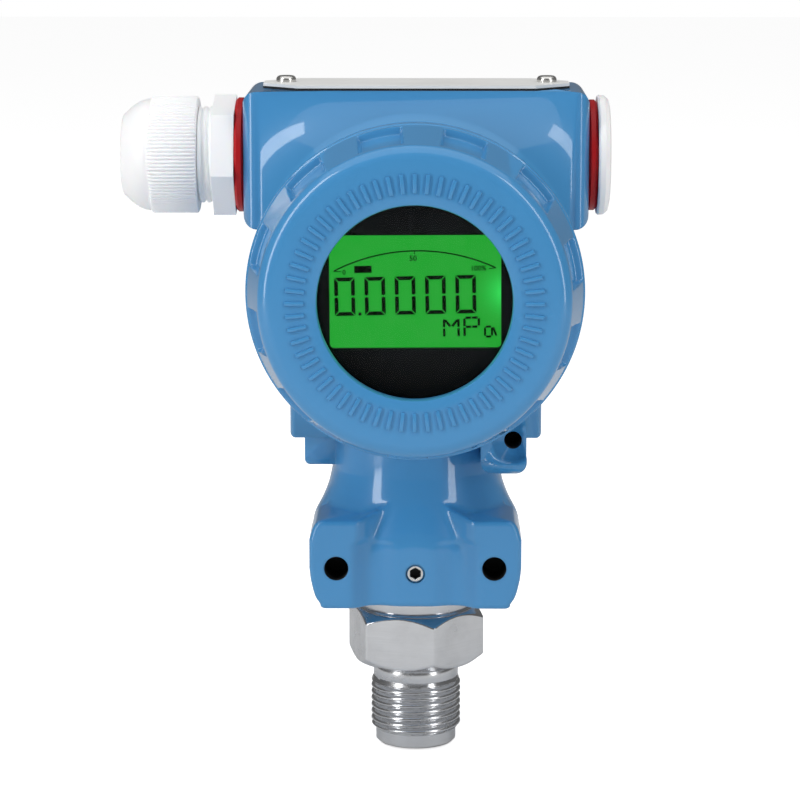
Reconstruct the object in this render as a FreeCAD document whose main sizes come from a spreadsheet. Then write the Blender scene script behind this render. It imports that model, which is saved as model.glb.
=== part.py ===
# Pressure transmitter: a round cast housing with a glazed front cover and a blind rear cover, a swivelling
# neck on a steel process connector, a cable gland and a blanking plug.
#
# Frame: +Z up, the display faces -Y, +X is the side of the blanking plug. The origin is on the sensor axis
# at the end face of the process thread. Lengths are millimetres, angles degrees.

import FreeCAD, Part
import math
import os
import types

import Sketcher

Vector = FreeCAD.Vector
Rotation = FreeCAD.Rotation

doc = FreeCAD.newDocument("PressureTransmitter")

# ---------------------------------------------------------------- driving sizes

drivingSizes = [
    # process connector and sensor
    ("threadDia", 20.0, "process thread, outside"),
    ("threadEnd", 17.6, "height where the process thread ends"),
    ("pilotDia", 17.8, "plain end of the thread"),
    ("pilotLength", 3.0, "length of the plain end"),
    ("reliefDia", 17.4, "undercut between thread and hexagon"),
    ("hexBottom", 19.0, "height of the hexagon's lower face"),
    ("hexHeight", 12.0, "hexagon height"),
    ("hexFlats", 27.0, "hexagon across flats"),
    ("hexTurn", 45.3, "turn of the hexagon about the sensor axis"),
    ("hexBevel", 1.8, "drop of the corner bevel"),
    ("collarDia", 25.6, "round collar above the hexagon"),
    ("stemDia", 22.0, "sensor stem that turns in the neck"),
    ("stemTop", 62.0, "height of the stem's upper end"),
    ("portDia", 6.0, "pressure port"),
    ("chamberDia", 17.0, "sensor chamber inside the stem"),
    ("chamberFloor", 26.0, "height of the chamber's floor"),
    ("capsuleHeight", 13.0, "pressure capsule"),
    ("retainerHeight", 4.0, "threaded ring over the capsule"),
    ("sensorBoardGap", 3.0, "room between the ring and the sensor board"),
    ("boardThickness", 1.6, "every circuit board"),
    # neck and skirt of the housing
    ("skirtBottom", 36.0, "height of the skirt's lower face"),
    ("skirtWidth", 45.8, "skirt across its flat sides, left to right"),
    ("skirtDepth", 46.4, "skirt across its flat faces, front to back"),
    ("skirtShoulder", 52.5, "height where the bell turns down"),
    ("skirtRound", 10.0, "rounding of the skirt's upright corners"),
    ("skirtFoot", 5.0, "rounding of its lower left and right edges"),
    ("bellProud", 4.0, "bell beyond the flat sides of the skirt"),
    ("bellWaist", 0.6, "bell inside those sides at its shoulder"),
    ("bellTurn", 8.0, "straight height of the bell"),
    ("bellRound", 9.0, "rounding above that height"),
    ("neckBase", 60.6, "height where the bell meets the neck"),
    ("neckCove", 3.5, "hollow rounding where they meet"),
    ("neckDia", 36.2, "neck"),
    ("earFace", 25.0, "distance of the ear faces from the sensor axis"),
    ("earInset", 0.1, "ear inside the flat side of the skirt"),
    ("hollowSide", 8.4, "hollow beside an ear from the middle"),
    ("hollowRadius", 5.2, "its radius"),
    ("hollowFloor", 22.2, "its deepest line in front of the axis"),
    ("earEdge", 0.8, "rounding of its other edges"),
    ("earThickness", 14.0, "ear, front to back"),
    ("earTop", 55.4, "height of an ear's upper face"),
    ("bracketSpacing", 33.9, "bracket holes, centre to centre"),
    ("bracketHoleDia", 5.2, "bracket holes, tapping size"),
    ("bracketHoleDepth", 11.0, "bracket holes"),
    ("bracketHeight", 45.0, "height of the bracket holes"),
    ("lockScrewDia", 4.0, "set screw that locks the swivel"),
    ("lockScrewHeight", 43.4, "height of that set screw"),
    ("lockScrewLength", 11.6, "length of that set screw"),
    ("lockScrewInset", 0.3, "set screw below the skirt face"),
    # barrel, block and bosses of the housing
    ("barrelDia", 70.4, "barrel outside"),
    ("barrelHeight", 106.5, "height of the barrel's axis"),
    ("barrelHalf", 34.0, "distance of each barrel mouth from the sensor axis"),
    ("mouthWall", 4.65, "wall of the barrel at its mouths"),
    ("mouthDepth", 11.0, "depth of the cover thread bores"),
    ("sealSeatDepth", 2.4, "depth of that seat"),
    ("partitionFront", 6.0, "partition's front face from the sensor axis"),
    ("partitionRear", 5.0, "partition's rear face from the sensor axis"),
    ("blockHalf", 37.0, "half width of the conduit block"),
    ("blockDepth", 28.4, "conduit block, front to back"),
    ("blockHeight", 29.4, "conduit block"),
    ("blockEdge", 3.0, "rounding of its edges"),
    ("conduitRise", 25.0, "conduit axis above the barrel's axis"),
    ("conduitDepth", 12.5, "conduit thread bore"),
    ("saddleHalf", 27.2, "half width of the saddle under the barrel"),
    ("saddleDrop", 35.1, "saddle's lower face under the barrel's axis"),
    ("saddleDepth", 27.0, "saddle, front to back"),
    ("saddleTuck", 10.0, "saddle's hidden upper face under the barrel's axis"),
    ("bossHalf", 24.4, "outer side of the bosses under the saddle"),
    ("bossDrop", 7.6, "bosses' lower face under the saddle"),
    ("bossInner", 8.0, "hidden inner side of the left boss"),
    ("bossTuck", 6.0, "height of its part inside the saddle"),
    ("bossSetback", 1.5, "bosses behind the faces of the saddle"),
    ("bossEdge", 1.2, "rounding of the saddle's and boss's edges"),
    ("groundBossFace", 24.0, "front face of the ground boss"),
    ("groundBossRise", 1.3, "lower face of the ground boss above the other boss"),
    ("groundBossInner", 14.0, "inner side of the ground boss"),
    ("groundBossInset", 0.6, "its outer side inside the other boss's"),
    ("groundBossTuck", 12.0, "height of its part beside the saddle"),
    ("groundBossEdge", 3.0, "rounding of its lower edges"),
    ("groundHoleRise", 8.4, "ground tapping above that face"),
    ("groundHoleDia", 3.8, "ground screw tapping"),
    ("groundHoleSide", 20.9, "ground tapping from the sensor axis"),
    ("spotDia", 9.0, "spot face round the ground tapping"),
    ("spotDepth", 4.0, "depth of that spot face"),
    # covers
    ("coverHeight", 19.5, "front cover, mouth to face"),
    ("rearCoverHeight", 11.0, "rear cover, mouth to face"),
    ("rimInset", 2.5, "rim of a cover's face inside the barrel's outside"),
    ("lugInset", 0.4, "lugs inside it"),
    ("lugTaper", 1.6, "fall of a lug's outside towards the face"),
    ("pocketInset", 3.1, "pocket floors inside it"),
    ("rimLength", 3.6, "face to the front end of the pockets"),
    ("faceRound", 1.5, "rounding round a cover's face"),
    ("coverRing", 4.0, "plain ring behind the lugs"),
    ("lugCount", 12, "lugs round a cover"),
    ("pocketWidth", 9.2, "width of a pocket"),
    ("lugTurn", 12.4, "turn of the pockets from straight up"),
    ("spigotLength", 10.0, "cover thread"),
    ("spigotWall", 3.0, "wall of the threaded end of a cover"),
    ("coverLip", 3.5, "thickness of the lip over the window"),
    ("apertureDia", 39.8, "window opening"),
    ("coverGap", 0.2, "gap between a cover and the barrel"),
    ("sealCord", 1.8, "section of a cover seal"),
    ("glassThickness", 6.0, "window glass"),
    ("gasketThickness", 0.5, "gasket in front of the glass"),
    ("ringThickness", 2.0, "ring behind the glass"),
    ("ringBore", 45.0, "opening of that ring"),
    # display and electronics
    ("displayGap", 1.5, "room round the display inside the cover"),
    ("bezelPlate", 1.2, "front plate of the bezel"),
    ("bezelWall", 1.5, "rim wall of the bezel"),
    ("bezelDepth", 9.0, "depth of the bezel behind its plate"),
    ("lcdWidth", 35.7, "visible width of the display"),
    ("lcdHeight", 23.7, "visible height of the display"),
    ("lcdTurn", 0.3, "turn of the display as it was fitted"),
    ("lcdBorder", 1.8, "hidden border of the display glass"),
    ("lcdThickness", 2.2, "display glass"),
    ("backlightThickness", 2.0, "light guide behind the display"),
    ("displayBoardGap", 0.5, "room round the display board inside the bezel"),
    ("postInset", 2.6, "display posts inside the edge of the board"),
    ("postDia", 3.8, "display posts"),
    ("displayScrewDia", 2.2, "display screws"),
    ("hubDia", 12.0, "hub on which the display turns"),
    ("hubReach", 3.0, "hub inside the electronics module"),
    ("moduleDepth", 15.0, "electronics module"),
    ("terminalDepth", 11.0, "terminal block"),
    ("terminalBlockDia", 38.0, "terminal block, with room for the wires round it"),
    ("terminalPitch", 9.0, "terminal screws, centre to centre"),
    ("terminalScrewDia", 3.0, "terminal screw thread"),
    # cable gland and blanking plug
    ("fittingSeal", 2.0, "thickness of the red seals"),
    ("glandSealDia", 24.8, "red seal of the gland, outside"),
    ("plugSealDia", 24.0, "red seal of the plug, outside"),
    ("glandFlats", 23.0, "gland hexagon across flats"),
    ("glandHexLength", 4.8, "gland hexagon"),
    ("glandHexTurn", 14.8, "turn of the gland hexagon"),
    ("glandThreadDia", 19.8, "thread under the gland nut"),
    ("glandNutStart", 8.7, "gland nut, from the housing face"),
    ("glandNutLength", 18.0, "gland nut"),
    ("glandNutDia", 25.4, "gland nut over the flutes"),
    ("glandDomeLength", 6.6, "domed end of the gland nut"),
    ("glandDomeDia", 17.6, "end face of the dome"),
    ("fluteCount", 80, "flutes round the gland nut"),
    ("fluteDepth", 0.45, "depth of a flute"),
    ("cableHoleDia", 9.0, "hole of the sealing insert"),
    ("insertDia", 14.0, "sealing insert, outside"),
    ("insertLength", 9.0, "sealing insert"),
    ("fittingThreadDia", 20.0, "conduit thread of gland and plug"),
    ("fittingThreadLength", 10.0, "conduit thread of gland and plug"),
    ("plugHeadDia", 26.0, "plug head"),
    ("plugHeadLength", 2.7, "plug head"),
    # nameplate
    ("plateWidth", 66.0, "nameplate"),
    ("plateDepth", 22.0, "nameplate"),
    ("plateCorner", 7.5, "cut corners of the nameplate"),
    ("plateThickness", 0.6, "nameplate"),
    ("padThickness", 0.5, "black pad under the nameplate"),
    ("plateScrewSpacing", 56.4, "nameplate screws"),
    ("plateScrewHeadDia", 4.3, "nameplate screw head"),
    ("plateScrewHead", 1.4, "height of that head"),
    ("plateScrewDia", 2.4, "nameplate screw thread"),
    ("plateScrewReach", 3.2, "nameplate screws inside the block"),
    # clearances
    ("fitGap", 0.05, "radial gap of a turning fit"),
    ("restGap", 0.1, "gap beside a part that only rests in its seat"),
]

followingSizes = [
    ("skirtShoulderDia", "skirtWidth - 2 * bellWaist", "bell at its shoulder"),
    ("bellRadius", "skirtWidth / 2 + bellProud", "bell at its foot"),
    ("bellTurnHeight", "skirtBottom + bellTurn", "height where the bell's side ends"),
    ("earOuter", "skirtWidth / 2 - earInset", "outer edge of an ear"),
    ("hollowCentre", "hollowFloor + hollowRadius", "middle of the hollow in front of the axis"),
    ("mouthDia", "barrelDia - 2 * mouthWall", "cover thread bore"),
    ("spigotDia", "mouthDia - 2 * fitGap", "cover thread"),
    ("sealSeatDia", "spigotDia + 2 * (sealCord + 4 * restGap)", "seat of the cover seal"),
    ("coverBore", "spigotDia - 2 * spigotWall", "inside of a cover"),
    ("chamberBore", "coverBore + 2 * restGap", "electronics and wiring chambers"),
    ("coverRimDia", "barrelDia - 2 * rimInset", "rim of a cover's face"),
    ("lugDia", "barrelDia - 2 * lugInset", "over the lugs"),
    ("pocketFloor", "barrelDia / 2 - pocketInset", "pocket floor from the cover's axis"),
    ("conduitHeight", "barrelHeight + conduitRise", "height of the conduit axis"),
    ("conduitDia", "fittingThreadDia + 2 * fitGap", "conduit thread bore"),
    ("blockBottom", "conduitHeight - blockHeight / 2", "height of the block's lower face"),
    ("blockTop", "conduitHeight + blockHeight / 2", "height of the block's upper face"),
    ("saddleBottom", "barrelHeight - saddleDrop", "height of the saddle's lower face"),
    ("bossBottom", "saddleBottom - bossDrop", "height of the bosses' lower face"),
    ("groundBossBottom", "bossBottom + groundBossRise", "height of the ground boss's lower face"),
    ("groundHoleHeight", "bossBottom + groundHoleRise", "height of the ground tapping"),
    ("bezelDia", "coverBore - 2 * displayGap", "display bezel"),
    ("displayBoardDia", "bezelDia - 2 * (bezelWall + displayBoardGap)", "display board"),
    ("postRing", "displayBoardDia / 2 - postInset", "display posts from the display's axis"),
]

sheet = doc.addObject("Spreadsheet::Sheet", "Sizes")
cells = [(alias, str(value), meaning) for alias, value, meaning in drivingSizes]
cells += [(alias, f"={formula}", meaning) for alias, formula, meaning in followingSizes]
for row, (alias, content, meaning) in enumerate(cells, start=1):
    sheet.set(f"A{row}", meaning)
    sheet.setAlias(f"B{row}", alias)
    sheet.set(f"B{row}", content)
doc.recompute()


class Length:
    # A number together with the sheet formula that gives it, so one sum serves both.
    def __init__(self, value, formula=None):
        self.value = float(value)
        self.formula = formula or repr(float(value))

    def _join(self, other, sign, value):
        return Length(value, f"({self.formula} {sign} {other.formula})")

    def __add__(self, other):
        other = asLength(other)
        return self._join(other, "+", self.value + other.value)

    def __sub__(self, other):
        other = asLength(other)
        return self._join(other, "-", self.value - other.value)

    def __mul__(self, other):
        other = asLength(other)
        return self._join(other, "*", self.value * other.value)

    def __truediv__(self, other):
        other = asLength(other)
        return self._join(other, "/", self.value / other.value)

    def __radd__(self, other):
        return asLength(other) + self

    def __rsub__(self, other):
        return asLength(other) - self

    def __rmul__(self, other):
        return asLength(other) * self

    def __neg__(self):
        return asLength(0) - self


def asLength(number):
    return number if isinstance(number, Length) else Length(number)


size = types.SimpleNamespace(
    **{alias: Length(sheet.get(alias), f"Sizes.{alias}") for alias, _, _ in cells})


# ---------------------------------------------------------------- ways to build

TURNS = {
    "+Z": Rotation(),
    "-Z": Rotation(Vector(1, 0, 0), 180),
    "-Y": Rotation(Vector(1, 0, 0), 90),
    "+Y": Rotation(Vector(1, 0, 0), -90),
    "-X": Rotation(Vector(0, 1, 0), -90),
    "+X": Rotation(Vector(0, 1, 0), 90),
}


def bind(thing, prop, number):
    thing.setExpression(prop, asLength(number).formula)


def seat(thing, x, y, z, along="+Z"):
    # Puts a piece's own origin at a point, with its own +Z along the given direction.
    thing.Placement = FreeCAD.Placement(Vector(0, 0, 0), TURNS[along])
    for name, number in (("x", x), ("y", y), ("z", z)):
        bind(thing, f"Placement.Base.{name}", number)
    return thing


def newBody(label):
    body = doc.addObject("PartDesign::Body", label)
    body.Label = label
    return body


def newSketch(body, role, offset=0, turn=0):
    sketch = body.newObject("Sketcher::SketchObject", f"{body.Name}Sketch")
    plane = [feature for feature in body.Origin.OriginFeatures if feature.Role == role][0]
    sketch.AttachmentSupport = (plane, [""])
    sketch.MapMode = "FlatFace"
    bind(sketch, "AttachmentOffset.Base.z", offset)
    if asLength(turn).value:
        bind(sketch, "AttachmentOffset.Rotation.Angle", turn)
    return sketch


def drawOutline(sketch, corners):
    # A closed run of straight lines whose corners are all tied to the sheet.
    spots = [Vector(asLength(x).value, asLength(y).value, 0) for x, y in corners]
    first = sketch.GeometryCount
    for start, end in zip(spots, spots[1:] + spots[:1]):
        sketch.addGeometry(Part.LineSegment(start, end), False)
    for index, (x, y) in enumerate(corners):
        line = first + index
        following = first + (index + 1) % len(corners)
        sketch.addConstraint(Sketcher.Constraint("Coincident", line, 2, following, 1))
        for kind, number in (("DistanceX", x), ("DistanceY", y)):
            number = asLength(number)
            spot = sketch.addConstraint(Sketcher.Constraint(kind, -1, 1, line, 1, number.value))
            sketch.setExpression(f"Constraints[{spot}]", number.formula)


def drawCircle(sketch, x, y, radius):
    centre = Vector(asLength(x).value, asLength(y).value, 0)
    circle = sketch.addGeometry(Part.Circle(centre, Vector(0, 0, 1), asLength(radius).value), False)
    rules = (
        (Sketcher.Constraint("Radius", circle, asLength(radius).value), radius),
        (Sketcher.Constraint("DistanceX", -1, 1, circle, 3, centre.x), x),
        (Sketcher.Constraint("DistanceY", -1, 1, circle, 3, centre.y), y),
    )
    for rule, number in rules:
        spot = sketch.addConstraint(rule)
        sketch.setExpression(f"Constraints[{spot}]", asLength(number).formula)


def revolve(body, corners, kind="PartDesign::Revolution"):
    # Corners are (radius, height) in the plane through the body's own Z axis.
    sketch = newSketch(body, "XZ_Plane")
    drawOutline(sketch, corners)
    feature = body.newObject(kind, f"{body.Name}Turn")
    feature.Profile = sketch
    feature.ReferenceAxis = (sketch, ["V_Axis"])
    feature.Angle = 360
    return feature


def turned(label, corners):
    body = newBody(label)
    revolve(body, corners)
    return body


def pad(body, draw, start, length, kind="PartDesign::Pad", turn=0):
    # Raises or cuts what draw puts in the sketch, upwards from the given height.
    sketch = newSketch(body, "XY_Plane", start, turn)
    draw(sketch)
    feature = body.newObject(kind, f"{body.Name}Pad")
    feature.Profile = sketch
    bind(feature, "Length", length)
    feature.Reversed = kind == "PartDesign::Pocket"
    return feature


def around(body, feature, count):
    pattern = body.newObject("PartDesign::PolarPattern", f"{body.Name}Ring")
    pattern.Originals = [feature]
    pattern.Axis = (feature.Profile[0], ["N_Axis"])
    pattern.Angle = 360
    bind(pattern, "Occurrences", count)
    body.Tip = pattern
    return pattern


def softenEdges(body, base, radius, wanted, kind="PartDesign::Fillet"):
    # Rounds or bevels the edges of the feature that pass the test.
    doc.recompute()
    edges = [f"Edge{n}" for n, edge in enumerate(base.Shape.Edges, start=1) if wanted(edge)]
    feature = body.newObject(kind, f"{body.Name}Soft")
    feature.Base = (base, edges)
    bind(feature, "Radius" if kind.endswith("Fillet") else "Size", radius)
    body.Tip = feature
    return feature


def hexagon(flats):
    corner = flats / math.sqrt(3)
    return [(corner, 0), (corner / 2, flats / 2), (-corner / 2, flats / 2),
            (-corner, 0), (-corner / 2, -flats / 2), (corner / 2, -flats / 2)]


def rectangle(width, height):
    return [(-width / 2, -height / 2), (width / 2, -height / 2), (width / 2, height / 2), (-width / 2, height / 2)]


def rod(name, radius, length, x, y, z, along="+Z"):
    cylinder = doc.addObject("Part::Cylinder", name)
    bind(cylinder, "Radius", radius)
    bind(cylinder, "Height", length)
    return seat(cylinder, x, y, z, along)


def ring(name, middleRadius, cordRadius, x, y, z, along="+Z"):
    # A seal ring of eight-sided section, as the cord looks when it is squeezed in its groove.
    near = cordRadius * math.tan(math.radians(22.5))
    section = [(cordRadius, near), (near, cordRadius), (-near, cordRadius), (-cordRadius, near),
               (-cordRadius, -near), (-near, -cordRadius), (near, -cordRadius), (cordRadius, -near)]
    return seat(turned(name, [(middleRadius + across, up) for across, up in section]), x, y, z, along)


def slab(name, low, high):
    box = doc.addObject("Part::Box", name)
    for prop, start, end in zip(("Length", "Width", "Height"), low, high):
        bind(box, prop, asLength(end) - start)
    return seat(box, *low)


def roundedSlab(name, low, high, radius, wanted):
    # A box whose chosen edges are rounded.
    box = slab(f"{name}Blank", low, high)
    doc.recompute()
    return rounded(name, box, radius, wanted)


def rounded(name, base, radius, wanted):
    doc.recompute()
    soft = doc.addObject("Part::Fillet", name)
    soft.Base = base
    amount = asLength(radius).value
    soft.Edges = [(n, amount, amount) for n, edge in enumerate(base.Shape.Edges, start=1) if wanted(edge)]
    return soft


def fuse(name, shapes):
    union = doc.addObject("Part::MultiFuse", name)
    union.Shapes = shapes
    union.Refine = True
    return union


def cut(name, base, tool):
    result = doc.addObject("Part::Cut", name)
    result.Base = base
    result.Tool = tool
    result.Refine = True
    return result


def mirrored(name, source, normal):
    mirror = doc.addObject("Part::Mirroring", name)
    mirror.Source = source
    mirror.Normal = normal
    return mirror


def runsAlong(edge, direction):
    # True for a straight edge in that direction.
    if not isinstance(edge.Curve, Part.Line):
        return False
    return edge.Curve.Direction.cross(direction).Length < 1e-6


def circleAt(edge, radius, height):
    # True for a full circle about the body's own Z axis.
    if not isinstance(edge.Curve, Part.Circle):
        return False
    centre = edge.Curve.Center
    sameSize = abs(edge.Curve.Radius - asLength(radius).value) < 1e-4
    return sameSize and abs(centre.z - asLength(height).value) < 1e-4


ACROSS = Vector(1, 0, 0)
INWARD = Vector(0, 1, 0)
UPWARD = Vector(0, 0, 1)

parts = []


def keep(piece, label=None):
    piece.Label = label or piece.Label
    parts.append(piece)
    return piece


# ---------------------------------------------------------------- process connector and sensor

hexTop = size.hexBottom + size.hexHeight
capsuleTop = size.chamberFloor + size.capsuleHeight
retainerTop = capsuleTop + size.retainerHeight
sensorBoardBottom = retainerTop + size.sensorBoardGap


def makeProcessConnector():
    body = newBody("process_connector")
    flats = pad(body, lambda sketch: drawOutline(sketch, hexagon(size.hexFlats)),
                size.hexBottom, size.hexHeight, turn=size.hexTurn)
    body.Tip = flats
    faceRadius = size.hexFlats / 2 - 0.2
    outside = size.hexFlats / 2 + 3
    drop = size.hexBevel * 3.2 / 2.3
    for edge, inwards in ((hexTop, -1), (size.hexBottom, 1)):
        revolve(body, [(faceRadius, edge), (outside, edge), (outside, edge + drop * inwards)], "PartDesign::Groove")
    lead = 1.1
    bevel = 0.6
    pilot = size.pilotDia / 2
    thread = size.threadDia / 2
    relief = size.reliefDia / 2
    collar = size.collarDia / 2
    stem = size.stemDia / 2
    collarTop = size.skirtBottom - 2 * size.restGap
    revolve(body, [
        (0, 0), (pilot - bevel, 0), (pilot, bevel), (pilot, size.pilotLength), (thread, size.pilotLength + lead),
        (thread, size.threadEnd), (relief, size.threadEnd + 0.4), (relief, size.hexBottom),
        (size.hexFlats / 2 - 1, size.hexBottom), (size.hexFlats / 2 - 1, hexTop - 1), (collar, hexTop - 0.6),
        (collar, collarTop - bevel), (collar - bevel, collarTop), (stem, collarTop), (stem, size.stemTop - bevel),
        (stem - bevel, size.stemTop), (0, size.stemTop)])
    port = size.portDia / 2
    chamber = size.chamberDia / 2
    revolve(body, [(0, -1), (port + 0.5, -1), (port + 0.5, 0), (port, 0.5), (port, size.chamberFloor),
                   (chamber, size.chamberFloor), (chamber, size.stemTop + 1), (0, size.stemTop + 1)],
            "PartDesign::Groove")
    # running groove for the neck seal
    grooveHeight = size.skirtBottom + 4
    revolve(body, [(stem - 1.5, grooveHeight), (stem + 1, grooveHeight), (stem + 1, grooveHeight + 2.2),
                   (stem - 1.5, grooveHeight + 2.2)], "PartDesign::Groove")
    keep(body)
    keep(ring("neck_oring", stem - 0.75, 0.7, 0, 0, grooveHeight + 1.1))


def makeSensor():
    capsule = size.chamberDia / 2 - size.restGap
    seal = 1.0
    keep(turned("sensor_capsule", [
        (0, size.chamberFloor + 1), (capsule - 2.4, size.chamberFloor + 1), (capsule - 2.4, size.chamberFloor + 2.4),
        (capsule, size.chamberFloor + 2.4), (capsule, capsuleTop - 2), (capsule - 1.5, capsuleTop),
        (0, capsuleTop)]))
    keep(ring("capsule_oring", capsule - 1.2, seal, 0, 0, size.chamberFloor + 1.2))
    keep(turned("capsule_retainer", [
        (capsule - 3.2, capsuleTop), (capsule, capsuleTop), (capsule, retainerTop), (capsule - 3.2, retainerTop)]))
    board = newBody("sensor_board")
    pad(board, lambda sketch: drawCircle(sketch, 0, 0, capsule - 0.2), sensorBoardBottom, size.boardThickness)
    keep(board)
    pins = newBody("sensor_pins")
    pin = pad(pins, lambda sketch: drawCircle(sketch, 3.5, 0, 0.45), capsuleTop, sensorBoardBottom - capsuleTop)
    around(pins, pin, 4)
    keep(pins)


# ---------------------------------------------------------------- housing casting

def makeBell():
    # The lower skirt: a bell of revolution with its four sides planed flat and its foot drawn in.
    neck = size.neckDia / 2
    top = size.neckBase + size.neckCove * 2
    bell = turned("SkirtBell", [
        (0, size.skirtBottom), (size.bellRadius, size.skirtBottom), (size.bellRadius, size.bellTurnHeight),
        (size.skirtShoulderDia / 2, size.skirtShoulder), (neck, size.neckBase), (neck, top), (0, top)])
    softenEdges(bell, bell.Tip, size.bellRound, lambda edge: circleAt(edge, size.bellRadius, size.bellTurnHeight))
    softenEdges(bell, bell.Tip, size.neckCove, lambda edge: circleAt(edge, neck, size.neckBase))
    half = size.skirtWidth / 2
    depth = size.skirtDepth / 2
    low = (-half, -depth, size.skirtBottom)
    sides = roundedSlab("SkirtSides", low, (half, depth, top), size.skirtRound, lambda edge: runsAlong(edge, UPWARD))
    foot = roundedSlab("SkirtFootRound", low, (half, depth, top), size.skirtFoot,
                       lambda edge: runsAlong(edge, INWARD) and edge.CenterOfMass.z < size.skirtBottom.value + 1)
    squared = doc.addObject("Part::MultiCommon", "SkirtSquared")
    squared.Shapes = [bell, sides, foot]
    return squared


def makeEars():
    # One front ear is drawn at the right and mirrored to the left.
    ear = newBody("Ear")
    sketch = newSketch(ear, "XZ_Plane", size.earFace - size.earThickness)
    low = size.skirtBottom + 0.3
    outer = size.earOuter
    drawOutline(sketch, [
        (size.hollowSide, low), (outer - 3.4, low), (outer - 1.5, low + 3.2), (outer, low + 8.7),
        (outer, size.earTop - 4.9), (outer - 1.9, size.earTop), (size.hollowSide, size.earTop)])
    block = ear.newObject("PartDesign::Pad", "EarPad")
    block.Profile = sketch
    bind(block, "Length", size.earThickness)
    ear.Tip = block
    doc.recompute()
    front = -size.earFace.value

    def outerSide(edge):
        middle = edge.CenterOfMass
        return runsAlong(edge, INWARD) and middle.x > outer.value - 3.5 and middle.z < size.earTop.value - 1

    def outerTop(edge):
        middle = edge.CenterOfMass
        return runsAlong(edge, INWARD) and middle.x > outer.value - 3.5 and middle.z > size.earTop.value - 1

    def isRim(edge):
        return abs(edge.BoundBox.YMin - front) < 1e-3 and abs(edge.BoundBox.YMax - front) < 1e-3

    softenEdges(ear, ear.Tip, 4.5, outerSide)
    softenEdges(ear, ear.Tip, 1.6, outerTop)
    softenEdges(ear, ear.Tip, size.earEdge, isRim)
    return [ear, mirrored("EarLeft", ear, ACROSS)]


def makeCasting():
    block = roundedSlab(
        "BlockEnds", (-size.blockHalf, -size.blockDepth / 2, size.blockBottom),
        (size.blockHalf, size.blockDepth / 2, size.blockTop), size.blockEdge,
        lambda edge: runsAlong(edge, UPWARD) or runsAlong(edge, INWARD))
    half = size.saddleDepth / 2
    behind = half - size.bossSetback
    saddle = roundedSlab(
        "Saddle", (-size.saddleHalf, -half, size.saddleBottom),
        (size.saddleHalf, half, size.barrelHeight - size.saddleTuck), size.bossEdge,
        lambda edge: runsAlong(edge, INWARD) or runsAlong(edge, UPWARD))
    leftBoss = roundedSlab(
        "LeftBoss", (-size.bossHalf, -behind, size.bossBottom),
        (-size.bossInner, behind, size.saddleBottom + size.bossTuck), size.bossEdge,
        lambda edge: edge.CenterOfMass.z < size.saddleBottom.value + 5 and edge.CenterOfMass.x < -10)
    groundBoss = roundedSlab(
        "GroundBoss", (size.groundBossInner, -size.groundBossFace, size.groundBossBottom),
        (size.bossHalf - size.groundBossInset, behind, size.saddleBottom + size.groundBossTuck),
        size.groundBossEdge,
        lambda edge: edge.CenterOfMass.z < size.groundBossBottom.value + 1
        and (not runsAlong(edge, ACROSS) or edge.CenterOfMass.y < 0))
    neck = rod("Neck", size.neckDia / 2, size.barrelHeight - 22 - size.neckBase + 3, 0, 0, size.neckBase - 3)
    barrel = rod("Barrel", size.barrelDia / 2, size.barrelHalf * 2, 0, size.barrelHalf, size.barrelHeight, "-Y")
    return fuse("Casting", [makeBell(), *makeEars(), neck, barrel, block, saddle, leftBoss, groundBoss])


def makeMouth(side, along):
    # Bores of one end of the barrel, from its mouth to the partition.
    floor = size.partitionFront if side < 0 else size.partitionRear
    bores = (
        ("Seat", size.sealSeatDia / 2, size.sealSeatDepth),
        ("Mouth", size.mouthDia / 2, size.mouthDepth),
        ("Chamber", size.chamberBore / 2, size.barrelHalf - floor),
    )
    inward = {"-Y": "+Y", "+Y": "-Y"}[along]
    return [rod(f"{name}{'Front' if side < 0 else 'Rear'}", radius, depth + 1, 0, side * (size.barrelHalf + 1),
                size.barrelHeight, inward) for name, radius, depth in bores]


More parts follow.
